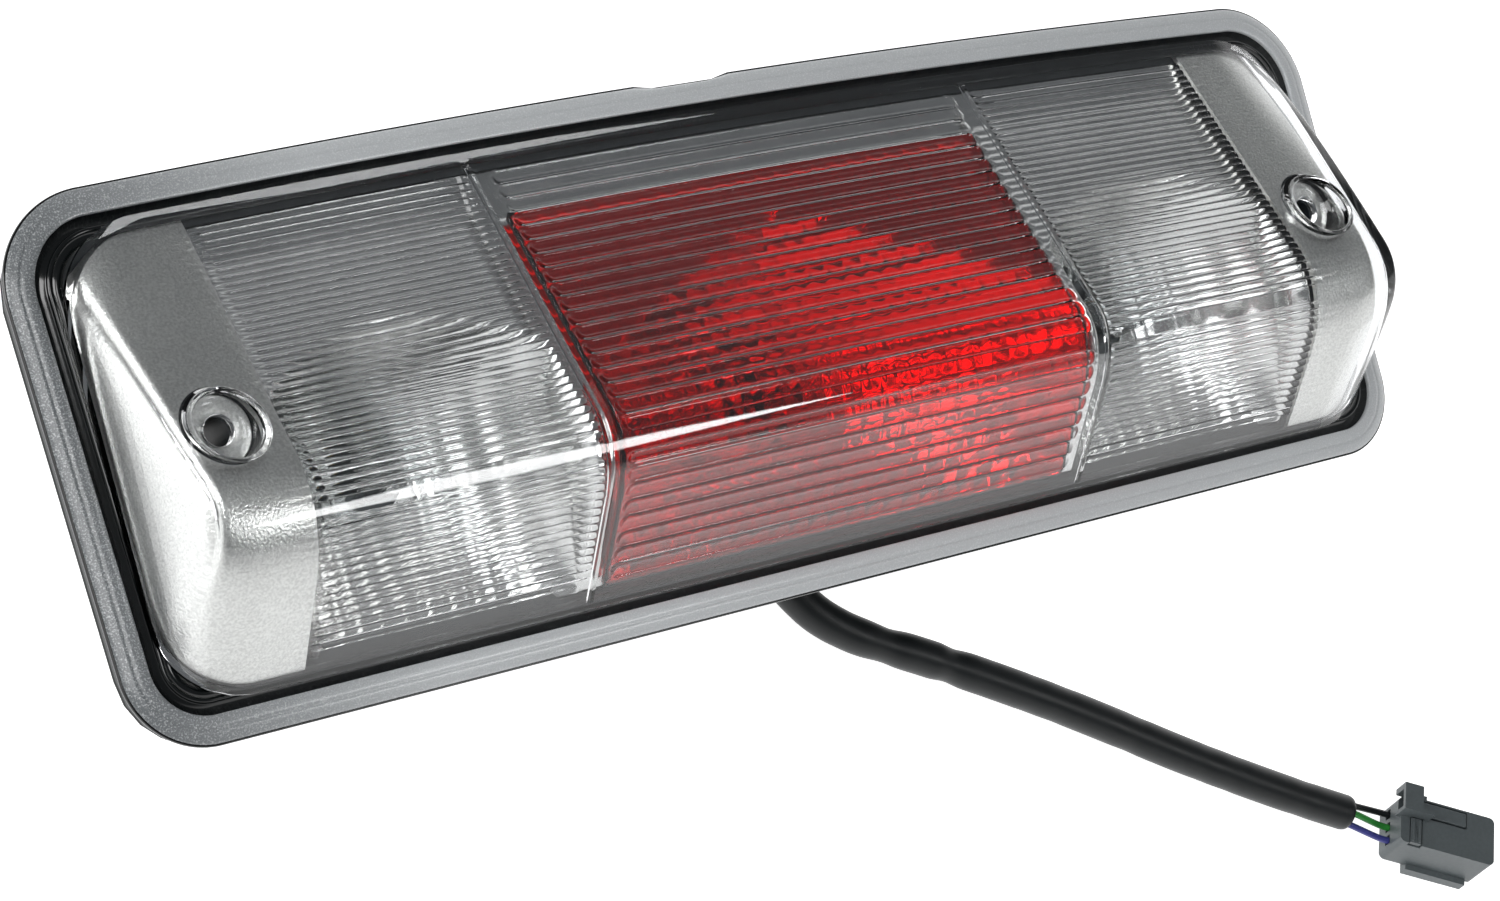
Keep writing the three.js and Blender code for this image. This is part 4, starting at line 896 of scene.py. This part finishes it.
class ReflectorOperator(Operator):
    """Metallised reflector: three bowls under a fluted cover, and the end caps' liners"""
    bl_idname = "brakelight.reflector"
    bl_label = "Reflector"

    def execute(self, context):
        metal = {"Metallic": 1.0}
        # Aluminium metallised on a polished moulding: a mirror with a slow waviness.
        bright = plain_surface("aluminium_metallised_bright", "f2f2f0", 0.16, (18.0, 0.01), metal, 0.08)
        # The same coat on a grained moulding: a satin silver, its pits darkened as painted shade.
        satin = plain_surface("aluminium_metallised_satin", "eeeeea", 0.3, (0.6, 0.11), metal, 0.06, 0.25)
        x = mirrored(spread((0, 1.0), (69, 0.5), (73.5, 1.0), (140, 0.5), (CARGO_END, 0)))
        share = np.linspace(0.02, 0.98, 120)
        front = body_sheet(x, share, REFLECTOR_EDGE)
        near_top = np.clip((front[..., 1] - LIFT_FROM) / LIFT_OVER, 0, 1)
        front[..., 2] = np.maximum(front[..., 2] - REFLECTOR_SINK + REFLECTOR_LIFT * near_top, FACE_Z - 2.4)
        across, along = front[..., 0], front[..., 1]
        for lamp in LAMPS.values():
            u, v = (across - lamp["x"]) / lamp["rx"], (along - lamp["y"]) / lamp["ry"]
            v = np.where(v > 0, v, v * lamp["ry"] / BOWL_DEPTH_BELOW)
            power = np.where(v > 0, lamp["power"], 4.0)
            out = (np.abs(u) ** power + np.abs(v) ** power) ** (1 / power)
            dish = BOWL_VERTEX_Z + (front[..., 2] - BOWL_VERTEX_Z) * out ** 2
            facets = FACET_DEPTH * (np.abs(np.sin(pi * (across - lamp["x"]) / FACET_PITCH)) +
                                    np.abs(np.sin(pi * (along - lamp["y"]) / FACET_PITCH)))
            facets = facets * np.clip(4 - 4 * out, 0, 1)
            dish = np.maximum(dish - facets, BOWL_FLOOR_Z)
            inside = np.abs(across - lamp["x"]) < lamp["room"]
            front[..., 2] = np.where(inside, np.minimum(front[..., 2], dish), front[..., 2])
        back = front.copy()
        back[..., 2] -= REFLECTOR_WALL
        piece = make_piece("reflector_bowls", *closed_between(front, back), bright, "metallised_reflector")
        cut(piece, [cutter_cylinder(lamp["x"], lamp["y"], BULB_HOLE_R, 15, 30) for lamp in LAMPS.values()])
        piece.data.shade_smooth()
        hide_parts("reflector")
        for side, name in ((-1, "left"), (1, "right")):
            self.end_liner(side, name, satin)
        return {"FINISHED"}

    @staticmethod
    def end_liner(side, name, material):
        """A sheet under the end cap's clear wall, with a hole round the screw's well."""
        half = HALF_LENGTH - BODY_INSET_END - END_REFLECTOR_OFFSET
        x = np.sort(side * spread((CARGO_END + 0.4, 0.7), (half - 8, 0.35), (half, 0)))
        share = spread((0, 0.004), (0.05, 0.012), (0.95, 0.004), (1, 0))
        front = body_sheet(x, share, END_REFLECTOR_OFFSET, LINER_BLENDS)
        back = front.copy()
        foot = FACE_Z - LINER_FOOT_DROP
        front[..., 2] = np.maximum(front[..., 2], foot)
        back[..., 2] = np.maximum(back[..., 2] - REFLECTOR_WALL, foot - LINER_WALL_FOOT)
        front, back = with_feet(front, foot), with_feet(back, foot - LINER_WALL_FOOT)
        liner = make_piece(f"end_liner_{name}", *closed_between(front, back), material,
                           "metallised_reflector")
        cut(liner, [well_cutter(side, LINER_HOLE_R)])
        liner.data.set_sharp_from_angle(angle=radians(60))
        seat = SEAT_Z - LENS_WALL
        profile = [(3.9, seat - 0.28), (8.4, seat - 0.28), (8.6, seat - 0.18), (8.4, seat - 0.06),
                   (3.9, seat - 0.06), (3.9, seat - 0.28)]
        points, faces = turned(profile, side * SCREW_X, SCREW_Y, 72)
        make_piece(f"end_liner_seat_{name}", points, faces, material, "metallised_reflector")


class HousingOperator(Operator):
    """Black housing, seal, foam ring, breathers and cable clip"""
    bl_idname = "brakelight.housing"
    bl_label = "Housing"

    def execute(self, context):
        # Moulded ABS: black with a soft sheen and a fine grain, drawn 0.9 mm across to show.
        abs_black = plain_surface("moulded_black_abs", "1b2022", 0.42, (0.9, 0.03))
        # Closed-cell foam: a black that takes the light flat, with open pits on its skin.
        foam = plain_surface("closed_cell_foam", "0d1112", 0.9, (0.9, 0.18))
        # Moulded EPDM: a dull black with a faint bloom.
        rubber = plain_surface("moulded_epdm_rubber", "15181a", 0.62, (1.4, 0.03))
        # Extruded butyl: a sticky, glossy black with an uneven edge.
        butyl = plain_surface("butyl_sealant", "0a0f10", 0.16, (1.2, 0.08))
        rounded_copy("housing", "rear_housing", 0.4, abs_black, LAMP, 2)
        dress("foam_gasket", foam)
        dress("lens_seal", butyl)
        for name in ("vent_cap_left", "vent_cap_right"):
            rounded_copy(name, name + "_moulding", 0.5, rubber, LAMP)
        rounded_copy("cable_clip", "cable_saddle", 0.3, abs_black, LAMP)
        return {"FINISHED"}


class BulbsOperator(Operator):
    """Bulbs, sockets, seals and contacts"""
    bl_idname = "brakelight.bulbs"
    bl_label = "Bulbs and sockets"

    def execute(self, context):
        # Glass-filled nylon: a flat dark grey.
        nylon = plain_surface("moulded_grey_socket_nylon", "4c5152", 0.5, (1.0, 0.03))
        # Moulded rubber: a smooth dull black.
        rubber = plain_surface("socket_ring_rubber", "17191a", 0.6, (1.0, 0.02))
        # Brass strip: a warm rolled metal.
        brass = plain_surface("sprung_brass_strip", "b9975a", 0.3, (1.2, 0.01), {"Metallic": 1.0})
        # Drawn wire: a dull grey metal.
        steel = plain_surface("drawn_steel_wire", "8f8f8c", 0.35, (0.6, 0.01), {"Metallic": 1.0})
        # Blown glass: perfectly smooth, with a faint cold edge.
        glass = clear_surface("blown_soda_glass", linear("f7f9f9"), 0.0, 1.52, (30.0, 0.004))
        for name, lamp in LAMPS.items():
            body = f"{name}_bulb_holder"
            rounded_copy(f"{name}_socket", f"{name}_holder", 0.4, nylon, body, 2)
            dress(f"{name}_socket_seal", rubber)
            for kind in ("feed", "ground"):
                dress(f"{name}_contact_{kind}", brass)
            dress(f"{name}_bulb_filament", steel)
            self.envelope(name, lamp, glass, body)
        return {"FINISHED"}

    @staticmethod
    def envelope(name, lamp, glass, body):
        """A round-topped tube of glass: straight sides, then a quarter circle to its crown."""
        inner, shoulder, foot = BULB_R - 0.8, BULB_TOP - BULB_R, SOCKET_TOP + 0.6
        angle = np.linspace(0, pi / 2, 14)
        outer_dome = np.column_stack([BULB_R * np.cos(angle), shoulder + BULB_R * np.sin(angle)])
        inner_dome = np.column_stack([inner * np.cos(angle), shoulder + inner * np.sin(angle)])[::-1]
        profile = np.concatenate([[(0, foot), (BULB_R - 0.6, foot), (BULB_R, foot + 0.8)], outer_dome,
                                  inner_dome, [(inner, foot + 2.2), (inner - 0.8, foot + 1.4),
                                               (0, foot + 1.4)]])
        points, faces = turned(profile, lamp["x"], lamp["y"], 48)
        bulb = make_piece(f"{name}_bulb", points, faces, glass, "bulb_glass", body)
        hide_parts(f"{name}_bulb_glass")


class BrakeLightPanel(Panel):
    """Every piece of the lamp, in the order they are made"""
    bl_idname = "VIEW3D_PT_brakelight"
    bl_label = "Third brake light"
    bl_space_type = "VIEW_3D"
    bl_region_type = "UI"
    bl_category = "Brake light"

    def draw(self, context):
        for settings in ("brakelight_colours", "brakelight_flutes", "brakelight_studio"):
            group = getattr(context.scene, settings)
            for name in group.bl_rna.properties.keys():
                if name not in {"rna_type", "name"}:
                    self.layout.prop(group, name)
        for operator in OPERATORS:
            self.layout.operator(operator.bl_idname)


OPERATORS = (StageOperator, HarnessOperator, OuterLensOperator, RedLensOperator, ReflectorOperator,
             HousingOperator, BulbsOperator)
GROUPS = {"brakelight_colours": LampColours, "brakelight_flutes": FluteSizes,
          "brakelight_studio": StudioSettings}


def register():
    for kind in (*GROUPS.values(), *OPERATORS, BrakeLightPanel):
        bpy.utils.register_class(kind)
    for name, group in GROUPS.items():
        setattr(bpy.types.Scene, name, PointerProperty(type=group))


def unregister():
    for name in GROUPS:
        delattr(bpy.types.Scene, name)
    for kind in (BrakeLightPanel, *reversed(OPERATORS), *GROUPS.values()):
        bpy.utils.unregister_class(kind)


def main():
    register()
    for operator in OPERATORS:
        group, name = operator.bl_idname.split(".")
        getattr(getattr(bpy.ops, group), name)()


if __name__ == "__main__":
    main()
